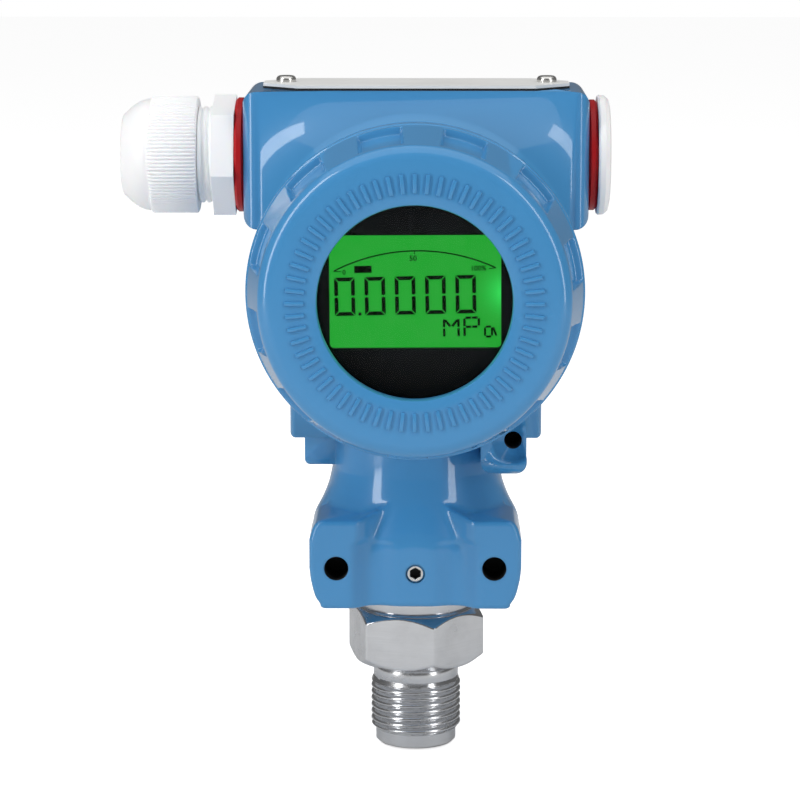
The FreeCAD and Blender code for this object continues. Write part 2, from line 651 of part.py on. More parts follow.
def makeCuts():
    cuts = makeMouth(-1, "-Y") + makeMouth(1, "+Y")
    inner = size.blockHalf - size.conduitDepth
    for side, along in ((-1, "-X"), (1, "+X")):
        name = "Left" if side < 0 else "Right"
        cuts.append(rod(f"Conduit{name}", size.conduitDia / 2, size.conduitDepth + 1, side * inner, 0,
                        size.conduitHeight, along))
        cuts.append(rod(f"Wireway{name}", 5, inner - 9, side * 10, size.partitionRear,
                        size.conduitHeight - 4.5, along))
        cuts.append(rod(f"Hollow{name}", size.hollowRadius, size.earTop + 2 - size.skirtBottom,
                        side * size.hollowSide, -size.hollowCentre, size.skirtBottom - 1))
        cuts.append(rod(f"Bracket{name}", size.bracketHoleDia / 2, size.bracketHoleDepth + 1,
                        side * size.bracketSpacing / 2, -size.earFace - 1, size.bracketHeight, "+Y"))
        tapDepth = size.plateScrewReach + 0.4
        cuts.append(rod(f"PlateTap{name}", size.plateScrewDia / 2 + size.fitGap, tapDepth + 1,
                        side * size.plateScrewSpacing / 2, 0, size.blockTop - tapDepth))
    stemBore = size.stemDia / 2 + size.fitGap
    cuts.append(rod("StemBore", stemBore, size.stemTop + 1.5 - size.skirtBottom + 1, 0, 0, size.skirtBottom - 1))
    wireway = size.barrelHeight - size.chamberBore / 2 - size.stemTop + 5
    cuts.append(rod("SensorWireway", 4.5, wireway, 0, -size.partitionFront - 1, size.stemTop))
    cuts.append(rod("LockTap", size.lockScrewDia / 2 + size.fitGap, 14, 0, -size.stemDia / 2 + 0.5,
                    size.lockScrewHeight, "-Y"))
    cuts.append(rod("GroundTap", size.groundHoleDia / 2, 14, size.groundHoleSide, -size.groundBossFace - 1,
                    size.groundHoleHeight, "+Y"))
    cuts.append(rod("GroundSpot", size.spotDia / 2, size.spotDepth + 1, size.groundHoleSide,
                    -size.groundBossFace - 1, size.groundHoleHeight, "+Y"))
    cuts.append(rod("FeedHole", 4, size.partitionFront + size.partitionRear + 2, 0, -size.partitionFront - 1,
                    size.barrelHeight, "+Y"))
    return fuse("CastingCuts", cuts)


def makeHousing():
    keep(cut("housing", makeCasting(), makeCuts()))
    depth = size.skirtDepth / 2
    screw = newBody("rotation_lock_screw")
    revolve(screw, [(0, 0), (size.lockScrewDia / 2, 0), (size.lockScrewDia / 2, size.lockScrewLength - 0.5),
                    (size.lockScrewDia / 2 - 0.5, size.lockScrewLength), (0, size.lockScrewLength)])
    pad(screw, lambda sketch: drawOutline(sketch, hexagon(asLength(2.0))), size.lockScrewLength - 2.5, 3,
        "PartDesign::Pocket")
    seat(screw, 0, size.lockScrewLength + size.lockScrewInset - depth, size.lockScrewHeight, "-Y")
    keep(screw)
    feed = rod("feedthrough", 4 - size.fitGap, size.partitionFront + size.partitionRear, 0, -size.partitionFront,
               size.barrelHeight, "+Y")
    keep(feed)


# ---------------------------------------------------------------- covers

def drawPocket(sketch):
    half = size.pocketWidth / 2
    outside = size.lugDia / 2 + 2
    drawOutline(sketch, [(-half, size.pocketFloor), (half, size.pocketFloor), (half, outside), (-half, outside)])


def coverBody(label, height, taper, bore):
    # Outside of a cover, from its face down to the thread, closed by the given inner outline.
    body = newBody(label)
    rim = size.coverRimDia / 2
    lug = size.lugDia / 2
    plain = size.barrelDia / 2
    spigot = size.spigotDia / 2
    lugStart = size.coverRing + 0.5
    revolve(body, bore + [
        (rim, height), (rim, height - 2.2), (lug - taper, height - 3), (lug, lugStart),
        (plain, size.coverRing), (plain, size.coverGap + 0.4), (plain - 0.4, size.coverGap),
        (spigot, size.coverGap), (spigot, 1 - size.spigotLength), (spigot - 1, -size.spigotLength),
        (size.coverBore / 2, -size.spigotLength)])
    softenEdges(body, body.Tip, size.faceRound, lambda edge: circleAt(edge, rim, height))
    pocket = pad(body, drawPocket, lugStart, height - size.rimLength - lugStart, "PartDesign::Pocket", size.lugTurn)
    around(body, pocket, size.lugCount)
    return body


def makeFrontCover():
    lip = size.coverHeight - size.coverLip
    aperture = size.apertureDia / 2
    bore = size.coverBore / 2
    cover = coverBody("front_cover", size.coverHeight, size.lugTaper,
                      [(bore, lip), (aperture, lip), (aperture, size.coverHeight - 0.5),
                       (aperture + 0.5, size.coverHeight)])
    glassTop = lip - size.gasketThickness
    glassBottom = glassTop - size.glassThickness
    seatRadius = bore - size.restGap * 2
    gasket = turned("window_gasket", [(aperture + 1.5, glassTop), (seatRadius, glassTop), (seatRadius, lip),
                                      (aperture + 1.5, lip)])
    glass = turned("window_glass", [(0, glassBottom), (seatRadius, glassBottom), (seatRadius, glassTop),
                                    (0, glassTop)])
    keeper = turned("window_ring", [(size.ringBore / 2, glassBottom - size.ringThickness),
                                    (seatRadius, glassBottom - size.ringThickness), (seatRadius, glassBottom),
                                    (size.ringBore / 2, glassBottom)])
    for piece in (cover, gasket, glass, keeper):
        keep(seat(piece, 0, -size.barrelHalf, size.barrelHeight, "-Y"))


def makeRearCover():
    floor = size.rearCoverHeight - 4
    cover = coverBody("rear_cover", size.rearCoverHeight, size.lugTaper / 3,
                      [(size.coverBore / 2, floor), (0, floor), (0, size.rearCoverHeight)])
    keep(seat(cover, 0, size.barrelHalf, size.barrelHeight, "+Y"))


def makeCoverSeals():
    middle = size.spigotDia / 2 + size.restGap + size.sealCord / 2
    inset = size.restGap + size.sealCord / 2
    keep(ring("front_cover_oring", middle, size.sealCord / 2, 0, -size.barrelHalf + inset, size.barrelHeight, "-Y"))
    keep(ring("rear_cover_oring", middle, size.sealCord / 2, 0, size.barrelHalf - inset, size.barrelHeight, "+Y"))


# ---------------------------------------------------------------- display and electronics

boardTop = -(size.lcdThickness + size.backlightThickness)
boardBottom = boardTop - size.boardThickness
moduleFace = size.barrelHalf - size.partitionFront - size.moduleDepth
postAngle = 56


def drawPosts(radius):
    x = size.postRing * math.cos(math.radians(postAngle))
    y = size.postRing * math.sin(math.radians(postAngle))

    def draw(sketch):
        for acrossSign, upSign in ((1, 1), (-1, 1), (-1, -1), (1, -1)):
            drawCircle(sketch, x * acrossSign, y * upSign, radius)
    return draw


def makeDisplay():
    bezel = newBody("display_bezel")
    outer = size.bezelDia / 2
    revolve(bezel, [(0, 0), (outer - size.bezelWall, 0), (outer - size.bezelWall, -size.bezelDepth),
                    (outer, -size.bezelDepth), (outer, size.bezelPlate - 0.4), (outer - 0.4, size.bezelPlate),
                    (0, size.bezelPlate)])
    window = pad(bezel, lambda sketch: drawOutline(sketch, rectangle(size.lcdWidth, size.lcdHeight)),
                 -0.5, size.bezelPlate + 1, "PartDesign::Pocket", size.lcdTurn)
    softenEdges(bezel, window, 0.9,
                lambda edge: runsAlong(edge, UPWARD) and edge.CenterOfMass.Length < outer.value - 1)

    panel = newBody("lcd_panel")
    full = rectangle(size.lcdWidth + size.lcdBorder * 2, size.lcdHeight + size.lcdBorder * 2)
    pad(panel, lambda sketch: drawOutline(sketch, full), -size.lcdThickness, size.lcdThickness, turn=size.lcdTurn)
    light = newBody("lcd_backlight")
    pad(light, lambda sketch: drawOutline(sketch, full), boardTop, size.backlightThickness, turn=size.lcdTurn)

    board = newBody("display_board")
    pad(board, lambda sketch: drawCircle(sketch, 0, 0, size.displayBoardDia / 2), boardBottom, size.boardThickness)
    pad(board, drawPosts(size.displayScrewDia / 2 + 3 * size.fitGap), boardBottom - 0.5, size.boardThickness + 1, "PartDesign::Pocket")
    posts = newBody("display_posts")
    pad(posts, drawPosts(size.postDia / 2), boardTop, -boardTop)
    pad(posts, drawPosts(size.displayScrewDia / 2 + size.fitGap), boardTop - 0.5, -boardTop - 0.5,
        "PartDesign::Pocket")
    screws = newBody("display_screws")
    pad(screws, drawPosts(size.displayScrewDia), boardBottom - 1.6, 1.6)
    pad(screws, drawPosts(size.displayScrewDia / 2), boardBottom, size.boardThickness + 3)
    hub = newBody("display_hub")
    hubEnd = -(moduleFace + size.hubReach)
    pad(hub, lambda sketch: drawCircle(sketch, 0, 0, size.hubDia / 2), hubEnd, boardBottom - hubEnd)
    for piece in (bezel, panel, light, board, posts, screws, hub):
        keep(seat(piece, 0, -size.barrelHalf, size.barrelHeight, "-Y"))


def makeElectronics():
    module = newBody("electronics_module")
    radius = size.chamberBore / 2 - 3 * size.restGap
    back = -(size.barrelHalf - size.partitionFront)
    front = -moduleFace
    revolve(module, [(0, back), (radius, back), (radius, front - 1), (radius - 1, front), (0, front)])
    socket = size.hubDia / 2 + size.fitGap
    pad(module, lambda sketch: drawCircle(sketch, 0, 0, socket), front - size.hubReach - 0.4, size.hubReach + 1.4,
        "PartDesign::Pocket")
    ears = 21

    def drawPair(radius):
        def draw(sketch):
            drawCircle(sketch, -ears, 0, radius)
            drawCircle(sketch, ears, 0, radius)
        return draw

    pad(module, drawPair(1.6), front - 9, 10, "PartDesign::Pocket")
    screws = newBody("module_screws")
    pad(screws, drawPair(2.8), front, 2.2)
    pad(screws, drawPair(1.5), front - 8, 8)
    for piece in (module, screws):
        keep(seat(piece, 0, -size.barrelHalf, size.barrelHeight, "-Y"))


def makeTerminals():
    back = -(size.barrelHalf - size.partitionRear)
    front = back + size.terminalDepth
    radius = size.terminalBlockDia / 2
    plate = 1.0

    def drawRow(shape):
        def draw(sketch):
            for place in (-1.5, -0.5, 0.5, 1.5):
                shape(sketch, size.terminalPitch * place)
        return draw

    def square(sketch, x):
        half = 3.6
        drawOutline(sketch, [(x - half, -half), (x + half, -half), (x + half, half), (x - half, half)])

    def circle(radius):
        return lambda sketch, x: drawCircle(sketch, x, 0, radius)

    block = newBody("terminal_block")
    revolve(block, [(0, back), (radius, back), (radius, front - 0.8), (radius - 0.8, front), (0, front)])
    pad(block, drawRow(square), front - plate, plate + 1, "PartDesign::Pocket")
    pad(block, drawRow(circle(size.terminalScrewDia / 2 + size.fitGap)), front - 8, 8, "PartDesign::Pocket")
    plates = newBody("terminal_clamps")

    def clamp(sketch, x):
        half = 3.5
        drawOutline(sketch, [(x - half, -half), (x + half, -half), (x + half, half), (x - half, half)])

    pad(plates, drawRow(clamp), front - plate, plate)
    pad(plates, drawRow(circle(size.terminalScrewDia / 2 + size.fitGap)), front - plate - 1, plate + 2,
        "PartDesign::Pocket")
    screws = newBody("terminal_screws")
    pad(screws, drawRow(circle(3.0)), front, 2.2)
    pad(screws, drawRow(circle(size.terminalScrewDia / 2)), front - 7, 7)
    for piece in (block, plates, screws):
        keep(seat(piece, 0, size.barrelHalf, size.barrelHeight, "+Y"))


# ---------------------------------------------------------------- gland, plug and nameplate

def makeGland():
    thread = size.fittingThreadDia / 2
    nutThread = size.glandThreadDia / 2
    hexStart = size.fittingSeal + size.restGap
    hexEnd = hexStart + size.glandHexLength
    nutEnd = size.glandNutStart + size.glandNutLength
    bodyEnd = nutEnd - size.glandDomeLength - 2
    insertStart = bodyEnd - size.insertLength + 1
    body = newBody("gland_body")
    pad(body, lambda sketch: drawOutline(sketch, hexagon(size.glandFlats)), hexStart, size.glandHexLength,
        turn=size.glandHexTurn)
    revolve(body, [(0, -size.fittingThreadLength), (thread - 0.8, -size.fittingThreadLength),
                   (thread, 0.8 - size.fittingThreadLength), (thread, hexStart), (thread, hexEnd), (nutThread, hexEnd),
                   (nutThread, bodyEnd - 0.6), (nutThread - 0.6, bodyEnd), (0, bodyEnd)])
    bore = size.cableHoleDia / 2 + 1
    pocket = size.insertDia / 2 + size.restGap * 2
    revolve(body, [(0, -size.fittingThreadLength - 1), (bore, -size.fittingThreadLength - 1), (bore, insertStart),
                   (pocket, insertStart), (pocket, bodyEnd + 1), (0, bodyEnd + 1)], "PartDesign::Groove")

    hole = size.cableHoleDia / 2
    insert = turned("gland_insert", [(hole, insertStart), (size.insertDia / 2, insertStart),
                                     (size.insertDia / 2, bodyEnd + 0.6), (size.insertDia / 2 - 1.4, bodyEnd + 1.4),
                                     (hole, bodyEnd + 1.4)])
    nut = newBody("gland_nut")
    outer = size.glandNutDia / 2
    smooth = outer - size.fluteDepth
    domeStart = nutEnd - size.glandDomeLength
    inside = nutThread + 2 * size.fitGap
    revolve(nut, [(inside, size.glandNutStart), (smooth - 0.5, size.glandNutStart), (outer, size.glandNutStart + 0.8),
                  (outer, domeStart), (smooth, domeStart + 0.5), (smooth - 0.7, domeStart + 2.2),
                  (smooth - 1.9, domeStart + 4.2), (size.glandDomeDia / 2 + 0.4, nutEnd - 0.8),
                  (size.glandDomeDia / 2 - 0.8, nutEnd), (hole + 2, nutEnd), (hole + 1.6, nutEnd - 1),
                  (hole + 1.6, bodyEnd + 2.2), (inside, bodyEnd + 0.4)])
    half = 0.36

    def drawFlute(sketch):
        drawOutline(sketch, [(-half, outer + 0.05), (0, smooth), (half, outer + 0.05)])

    flute = pad(nut, drawFlute, size.glandNutStart + 0.9, domeStart - size.glandNutStart - 0.9, "PartDesign::Pocket")
    around(nut, flute, size.fluteCount)
    seal = turned("gland_oring", sealSection(size.glandSealDia))
    for piece in (body, insert, nut, seal):
        keep(seat(piece, -size.blockHalf, 0, size.conduitHeight, "-X"))


def sealSection(outside):
    # A flat seal ring with rounded outer edges, lying on the conduit face.
    inner = size.fittingThreadDia / 2 + 2 * size.restGap
    outer = outside / 2
    return [(inner, size.fitGap), (outer - 0.5, size.fitGap), (outer, 0.5), (outer, size.fittingSeal - 0.5),
            (outer - 0.5, size.fittingSeal), (inner, size.fittingSeal)]


def makePlug():
    thread = size.fittingThreadDia / 2
    head = size.plugHeadDia / 2
    start = size.fittingSeal + size.restGap
    end = start + size.plugHeadLength
    plug = turned("blanking_plug", [
        (0, -size.fittingThreadLength + 1.5), (thread - 3, -size.fittingThreadLength + 1.5),
        (thread - 3, -size.fittingThreadLength), (thread - 0.8, -size.fittingThreadLength),
        (thread, 0.8 - size.fittingThreadLength), (thread, start), (head - 0.3, start), (head, start + 0.4),
        (head - 0.1, end - 1.2), (head - 0.9, end - 0.3), (head - 2.2, end), (0, end)])
    pad(plug, lambda sketch: drawOutline(sketch, rectangle(asLength(2.0), asLength(14))), end - 1.2, 2,
        "PartDesign::Pocket")
    seal = turned("plug_oring", sealSection(size.plugSealDia))
    for piece in (plug, seal):
        keep(seat(piece, size.blockHalf, 0, size.conduitHeight, "+X"))


def cutCorners(width, depth, corner):
    x = width / 2
    y = depth / 2
    return [(-x, corner - y), (corner - x, -y), (x - corner, -y), (x, corner - y),
            (x, y - corner), (x - corner, y), (corner - x, y), (-x, y - corner)]


def makeNameplate():
    def drawHoles(radius):
        def draw(sketch):
            drawCircle(sketch, -size.plateScrewSpacing / 2, 0, radius)
            drawCircle(sketch, size.plateScrewSpacing / 2, 0, radius)
        return draw

    screw = size.plateScrewDia / 2
    outline = cutCorners(size.plateWidth, size.plateDepth, size.plateCorner)
    under = newBody("nameplate_pad")
    pad(under, lambda sketch: drawOutline(sketch, outline), 0, size.padThickness)
    pad(under, drawHoles(screw + size.fitGap), -0.5, size.padThickness + 1, "PartDesign::Pocket")
    plate = newBody("nameplate")
    pad(plate, lambda sketch: drawOutline(sketch, outline), size.padThickness, size.plateThickness)
    pad(plate, drawHoles(screw + size.fitGap), 0, size.padThickness + size.plateThickness + 1, "PartDesign::Pocket")
    screws = newBody("nameplate_screws")
    plateTop = size.padThickness + size.plateThickness
    heads = pad(screws, drawHoles(size.plateScrewHeadDia / 2), plateTop, size.plateScrewHead)
    softenEdges(screws, heads, 0.9, lambda edge: abs(edge.BoundBox.ZMin - heads.Shape.BoundBox.ZMax) < 1e-4
                and abs(edge.BoundBox.ZMax - edge.BoundBox.ZMin) < 1e-4)
    pad(screws, drawHoles(screw), -size.plateScrewReach, plateTop + size.plateScrewReach)
    for piece in (under, plate, screws):
        keep(seat(piece, 0, 0, size.blockTop))


# ---------------------------------------------------------------- build, check and write

makeProcessConnector()
makeSensor()
makeHousing()
makeFrontCover()
makeRearCover()
makeCoverSeals()
makeDisplay()
makeElectronics()
makeTerminals()
makeGland()
makePlug()
makeNameplate()
doc.recompute()

for thing in doc.Objects:
    if "Invalid" in thing.State or "Error" in thing.State:
        raise RuntimeError(f"{thing.Label}: {thing.State}")
for piece in parts:
    if piece.Shape.isNull() or not piece.Shape.isValid():
        raise RuntimeError(f"{piece.Label} has no valid shape")

os.makedirs("parts", exist_ok=True)
for piece in parts:
    piece.Shape.exportStep(f"parts/{piece.Label}.step")
    print(f"{piece.Label}: {len(piece.Shape.Solids)} solid(s), {piece.Shape.Volume:.0f} mm3")
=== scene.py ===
import math

import bmesh
import bpy
import numpy as np
from mathutils import Matrix, Vector


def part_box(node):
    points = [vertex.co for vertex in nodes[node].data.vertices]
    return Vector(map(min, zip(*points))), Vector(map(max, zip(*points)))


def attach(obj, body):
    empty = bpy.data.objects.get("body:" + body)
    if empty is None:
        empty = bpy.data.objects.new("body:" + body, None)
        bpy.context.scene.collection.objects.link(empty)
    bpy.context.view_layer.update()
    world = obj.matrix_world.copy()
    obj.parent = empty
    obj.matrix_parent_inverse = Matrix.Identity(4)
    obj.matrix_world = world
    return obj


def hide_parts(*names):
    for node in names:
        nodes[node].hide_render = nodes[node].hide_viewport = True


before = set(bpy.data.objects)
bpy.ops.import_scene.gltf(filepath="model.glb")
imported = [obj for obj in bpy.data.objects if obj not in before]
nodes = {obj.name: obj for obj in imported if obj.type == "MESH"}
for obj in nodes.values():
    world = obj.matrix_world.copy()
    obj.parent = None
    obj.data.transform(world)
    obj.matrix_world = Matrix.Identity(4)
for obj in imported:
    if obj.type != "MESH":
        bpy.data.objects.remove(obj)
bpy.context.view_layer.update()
mm = 0.001
print("frame loaded:", len(nodes), "pieces")


# ways to mix colours and build shader groups

def tone(red, green, blue):
    # a colour as it looks on screen, turned into the linear one that shaders read
    def linear(value):
        value /= 255
        return value / 12.92 if value <= 0.04045 else ((value + 0.055) / 1.055) ** 2.4
    return (linear(red), linear(green), linear(blue), 1.0)


class Wiring:
    # short hand for adding and joining nodes in one tree
    def __init__(self, tree):
        self.tree = tree

    def add(self, kind, **settings):
        node = self.tree.nodes.new(kind)
        for name, value in settings.items():
            setattr(node, name, value)
        return node

    def join(self, start, end):
        self.tree.links.new(start, end)

    def math(self, operation, first, second=0.5, clamp=False):
        node = self.add("ShaderNodeMath", operation=operation, use_clamp=clamp)
        for socket, value in zip(node.inputs, (first, second)):
            if isinstance(value, (int, float)):
                socket.default_value = value
            else:
                self.join(value, socket)
        return node.outputs[0]

    def noise(self, coordinates, scale, detail=2.0, roughness=0.5):
        node = self.add("ShaderNodeTexNoise")
        node.inputs["Detail"].default_value = detail
        node.inputs["Roughness"].default_value = roughness
        if isinstance(scale, (int, float)):
            node.inputs["Scale"].default_value = scale
        else:
            self.join(scale, node.inputs["Scale"])
        self.join(coordinates, node.inputs["Vector"])
        return node.outputs["Fac"]

    def spread(self, value, low, high, toLow=0.0, toHigh=1.0):
        node = self.add("ShaderNodeMapRange", clamp=True)
        self.join(value, node.inputs["Value"])
        for name, number in (("From Min", low), ("From Max", high), ("To Min", toLow), ("To Max", toHigh)):
            node.inputs[name].default_value = number
        return node.outputs["Result"]

    def blend(self, factor, first, second):
        node = self.add("ShaderNodeMix", data_type="RGBA")
        self.join(factor, node.inputs["Factor"])
        for socket, colour in ((node.inputs["A"], first), (node.inputs["B"], second)):
            if isinstance(colour, tuple):
                socket.default_value = colour
            else:
                self.join(colour, socket)
        return node.outputs["Result"]


def newGroup(name, inputs, outputs):
    tree = bpy.data.node_groups.new(name, "ShaderNodeTree")
    for socketName, kind, value in inputs:
        socket = tree.interface.new_socket(name=socketName, in_out="INPUT", socket_type=kind)
        socket.default_value = value
    for socketName, kind in outputs:
        tree.interface.new_socket(name=socketName, in_out="OUTPUT", socket_type=kind)
    wiring = Wiring(tree)
    source = wiring.add("NodeGroupInput")
    target = wiring.add("NodeGroupOutput")
    return tree, wiring, source.outputs, target.inputs


colourKind, valueKind = "NodeSocketColor", "NodeSocketFloat"
skinOutputs = [("Color", colourKind), ("Roughness", valueKind), ("Height", valueKind)]


def makeSurfaceSkin():
    # slow drift of colour, fine texture and rubbed patches, for paint, plastic and rubber
    tree, wiring, source, target = newGroup("surfaceSkin", [
        ("Color", colourKind, (0.5, 0.5, 0.5, 1)), ("Worn Color", colourKind, (0.6, 0.6, 0.6, 1)),
        ("Drift", valueKind, 0.1), ("Wear", valueKind, 0.1), ("Roughness", valueKind, 0.4),
        ("Texture Scale", valueKind, 900.0)], skinOutputs)
    place = wiring.add("ShaderNodeTexCoord").outputs["Object"]
    slow = wiring.noise(place, 45.0, 3.0)
    fine = wiring.noise(place, source["Texture Scale"], 2.0)
    rubbed = wiring.spread(wiring.noise(place, 160.0, 6.0, 0.7), 0.60, 0.76)
    dark = wiring.add("ShaderNodeHueSaturation")
    wiring.join(source["Color"], dark.inputs["Color"])
    shade = wiring.math("ADD", wiring.math("MULTIPLY", wiring.math("SUBTRACT", slow, 0.5), source["Drift"]), 1.0)
    wiring.join(shade, dark.inputs["Value"])
    wear = wiring.math("MULTIPLY", rubbed, source["Wear"])
    wiring.join(wiring.blend(wear, dark.outputs["Color"], source["Worn Color"]), target["Color"])
    patchy = wiring.math("MULTIPLY", wiring.math("SUBTRACT", slow, 0.5), 0.16)
    wiring.join(wiring.math("ADD", wiring.math("ADD", source["Roughness"], patchy),
                            wiring.math("MULTIPLY", wear, 0.2)), target["Roughness"])
    wiring.join(fine, target["Height"])
    return tree


def makeTurnedSkin():
    # fine tool marks that run round the upright axis, with faint smudges
    tree, wiring, source, target = newGroup("turnedSkin", [
        ("Color", colourKind, (0.6, 0.6, 0.6, 1)), ("Mark Scale", valueKind, 1.0), ("Roughness", valueKind, 0.3)],
        skinOutputs)
    place = wiring.add("ShaderNodeTexCoord").outputs["Object"]
    stretch = wiring.add("ShaderNodeMapping")
    stretch.inputs["Scale"].default_value = (60, 60, 5200)
    wiring.join(place, stretch.inputs["Vector"])
    marks = wiring.noise(stretch.outputs["Vector"], source["Mark Scale"], 3.0, 0.6)
    smudge = wiring.noise(place, 120.0, 4.0, 0.6)
    dark = wiring.add("ShaderNodeHueSaturation")
    wiring.join(source["Color"], dark.inputs["Color"])
    wiring.join(wiring.math("ADD", wiring.math("MULTIPLY", wiring.math("SUBTRACT", marks, 0.5), 0.22),
                            wiring.spread(smudge, 0.35, 0.7, 1.03, 0.93)), dark.inputs["Value"])
    wiring.join(dark.outputs["Color"], target["Color"])
    wiring.join(wiring.math("ADD", source["Roughness"], wiring.spread(smudge, 0.4, 0.7, -0.05, 0.12)),
                target["Roughness"])
    wiring.join(marks, target["Height"])
    return tree


surfaceSkin = makeSurfaceSkin()
turnedSkin = makeTurnedSkin()


def newMaterial(name, skin, skinValues, bump, bumpDepth, edge, **shaderValues):
    material = bpy.data.materials.new(name)
    material.use_nodes = True
    wiring = Wiring(material.node_tree)
    shader = material.node_tree.nodes["Principled BSDF"]
    group = wiring.add("ShaderNodeGroup", node_tree=skin)
    for key, value in skinValues.items():
        group.inputs[key].default_value = value
    wiring.join(group.outputs["Color"], shader.inputs["Base Color"])
    wiring.join(group.outputs["Roughness"], shader.inputs["Roughness"])
    relief = wiring.add("ShaderNodeBump")
    relief.inputs["Strength"].default_value = bump
    relief.inputs["Distance"].default_value = bumpDepth * mm
    wiring.join(group.outputs["Height"], relief.inputs["Height"])
    if edge:
        rounding = wiring.add("ShaderNodeBevel", samples=6)   # softens the look of edges by that radius
        rounding.inputs["Radius"].default_value = edge * mm
        wiring.join(rounding.outputs["Normal"], relief.inputs["Normal"])
    wiring.join(relief.outputs["Normal"], shader.inputs["Normal"])
    for key, value in shaderValues.items():
        shader.inputs[key.replace("_", " ")].default_value = value
    return material


def surface(name, colour, roughness, drift=0.10, wear=0.08, worn=None, textureScale=900.0, bump=0.15,
            bumpDepth=0.05, edge=0, **shaderValues):
    values = {"Color": colour, "Worn Color": worn or colour, "Drift": drift, "Wear": wear, "Roughness": roughness,
              "Texture Scale": textureScale}
    return newMaterial(name, surfaceSkin, values, bump, bumpDepth, edge, **shaderValues)


def turnedMetal(name, colour, roughness, markScale=1.0, bump=0.25, bumpDepth=0.02, edge=0, **shaderValues):
    values = {"Color": colour, "Mark Scale": markScale, "Roughness": roughness}
    return newMaterial(name, turnedSkin, values, bump, bumpDepth, edge, Metallic=1.0, **shaderValues)


paint = surface("bluePaint", tone(66, 140, 194), 0.30, drift=0.07, wear=0.10, worn=tone(84, 156, 206),
                textureScale=420.0, bump=0.08, bumpDepth=0.06, edge=0.9, Coat_Weight=0.8, Coat_Roughness=0.05,
                Specular_IOR_Level=0.2)
crispPaint = surface("coverPaint", tone(66, 140, 194), 0.30, drift=0.07, wear=0.10, worn=tone(84, 156, 206),
                     textureScale=420.0, bump=0.08, bumpDepth=0.06, edge=0.22, Coat_Weight=0.8,
                     Coat_Roughness=0.05, Specular_IOR_Level=0.2)
steel = turnedMetal("turnedSteel", tone(208, 209, 211), 0.20, bump=0.05)
screwSteel = turnedMetal("screwSteel", tone(216, 215, 212), 0.28, 0.6)
plateMetal = surface("brushedPlate", tone(236, 236, 234), 0.5, drift=0.2, wear=0.25, worn=tone(176, 178, 180),
                     textureScale=2600.0, bump=0.2)
# near-black painted shade for the inside of tapped holes and of the lock screw's socket, darker than their bare
# metal
holeShade = surface("tappedHolePaintedShade", tone(20, 19, 20), 0.7, drift=0.2, wear=0.2, worn=tone(44, 36, 34))
brass = turnedMetal("brass", tone(206, 172, 104), 0.34)
nylon = surface("whiteNylon", tone(250, 250, 251), 0.42, drift=0.03, wear=0.05, worn=tone(228, 229, 232),
                textureScale=1300.0, bump=0.08, Subsurface_Weight=0.12, Subsurface_Scale=0.0015)
redRubber = surface("redRubber", tone(176, 12, 20), 0.42, drift=0.16, wear=0.10, worn=tone(196, 48, 52),
                    Specular_IOR_Level=0.3)
blackRubber = surface("blackRubber", tone(28, 28, 29), 0.62, drift=0.2, wear=0.2, worn=tone(52, 52, 52))
blackPlastic = surface("blackPlastic", tone(20, 23, 30), 0.5, drift=0.15, wear=0.1, worn=tone(30, 33, 40),
                       Specular_IOR_Level=0.2)
darkCase = surface("pottedCase", tone(44, 45, 48), 0.5, drift=0.15, wear=0.15, worn=tone(66, 66, 68))
boardGreen = surface("boardGreen", tone(24, 92, 52), 0.35, drift=0.15, wear=0.1, worn=tone(40, 112, 68))
paleGuide = surface("paleGuide", tone(214, 230, 205), 0.4, drift=0.05)
ink = surface("displayInk", tone(10, 34, 14), 0.6, drift=0.2, wear=0.3, worn=tone(18, 50, 22),
              Specular_IOR_Level=0.1)


def makeWindowMaterial():
    material = bpy.data.materials.new("windowGlass")
    material.use_nodes = True
    shader = material.node_tree.nodes["Principled BSDF"]
    for key, value in (("Base Color", (0.97, 1.0, 0.98, 1)), ("Roughness", 0.0), ("Transmission Weight", 1.0),
                       ("IOR", 1.12)):
        shader.inputs[key].default_value = value
    wiring = Wiring(material.node_tree)
    place = wiring.add("ShaderNodeTexCoord").outputs["Object"]
    relief = wiring.add("ShaderNodeBump")
    relief.inputs["Strength"].default_value = 0.02
    relief.inputs["Distance"].default_value = 0.02 * mm
    wiring.join(wiring.noise(place, 90.0, 1.0), relief.inputs["Height"])
    wiring.join(relief.outputs["Normal"], shader.inputs["Normal"])
    return material


windowClear = makeWindowMaterial()
print("materials made")


# meshes

def finishMesh(mesh, sharpAngle=35):
    mesh.polygons.foreach_set("use_smooth", [True] * len(mesh.polygons))
    mesh.set_sharp_from_angle(angle=math.radians(sharpAngle))
    mesh.update()


def newPiece(name, shape, material, body, sharpAngle=35):
    # turns a bmesh into a piece that rides on a body
    mesh = bpy.data.meshes.new(name)
    shape.to_mesh(mesh)
    shape.free()
    finishMesh(mesh, sharpAngle)
    mesh.materials.append(material)
    piece = bpy.data.objects.new(name, mesh)
    bpy.context.scene.collection.objects.link(piece)
    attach(piece, body)
    return piece


def shellMesh(name, radii, heights, place, solid=False):
    # a closed shell: each row is a loop with its own radius at every column. The last row meets the first, unless
    # the piece is solid, with a point at each end
    rows, columns = radii.shape
    angle = np.linspace(0, 2 * np.pi, columns, endpoint=False)
    points = place(radii, angle, np.repeat(np.asarray(heights)[:, None], columns, axis=1)).reshape(-1, 3) * mm
    index = np.arange(rows * columns).reshape(rows, columns)
    following = np.roll(index, -1, axis=1)
    faces = np.stack((index, following, np.roll(following, -1, axis=0), np.roll(index, -1, axis=0)), axis=2)
    if solid:
        faces = faces[:-1]
    mesh = bpy.data.meshes.new(name)
    mesh.from_pydata(points.tolist(), [], faces.reshape(-1, 4).tolist())
    shape = bmesh.new()
    shape.from_mesh(mesh)
    bpy.data.meshes.remove(mesh)
    if solid:
        bmesh.ops.remove_doubles(shape, verts=shape.verts, dist=1e-7)
    bmesh.ops.recalc_face_normals(shape, faces=shape.faces)
    return shape


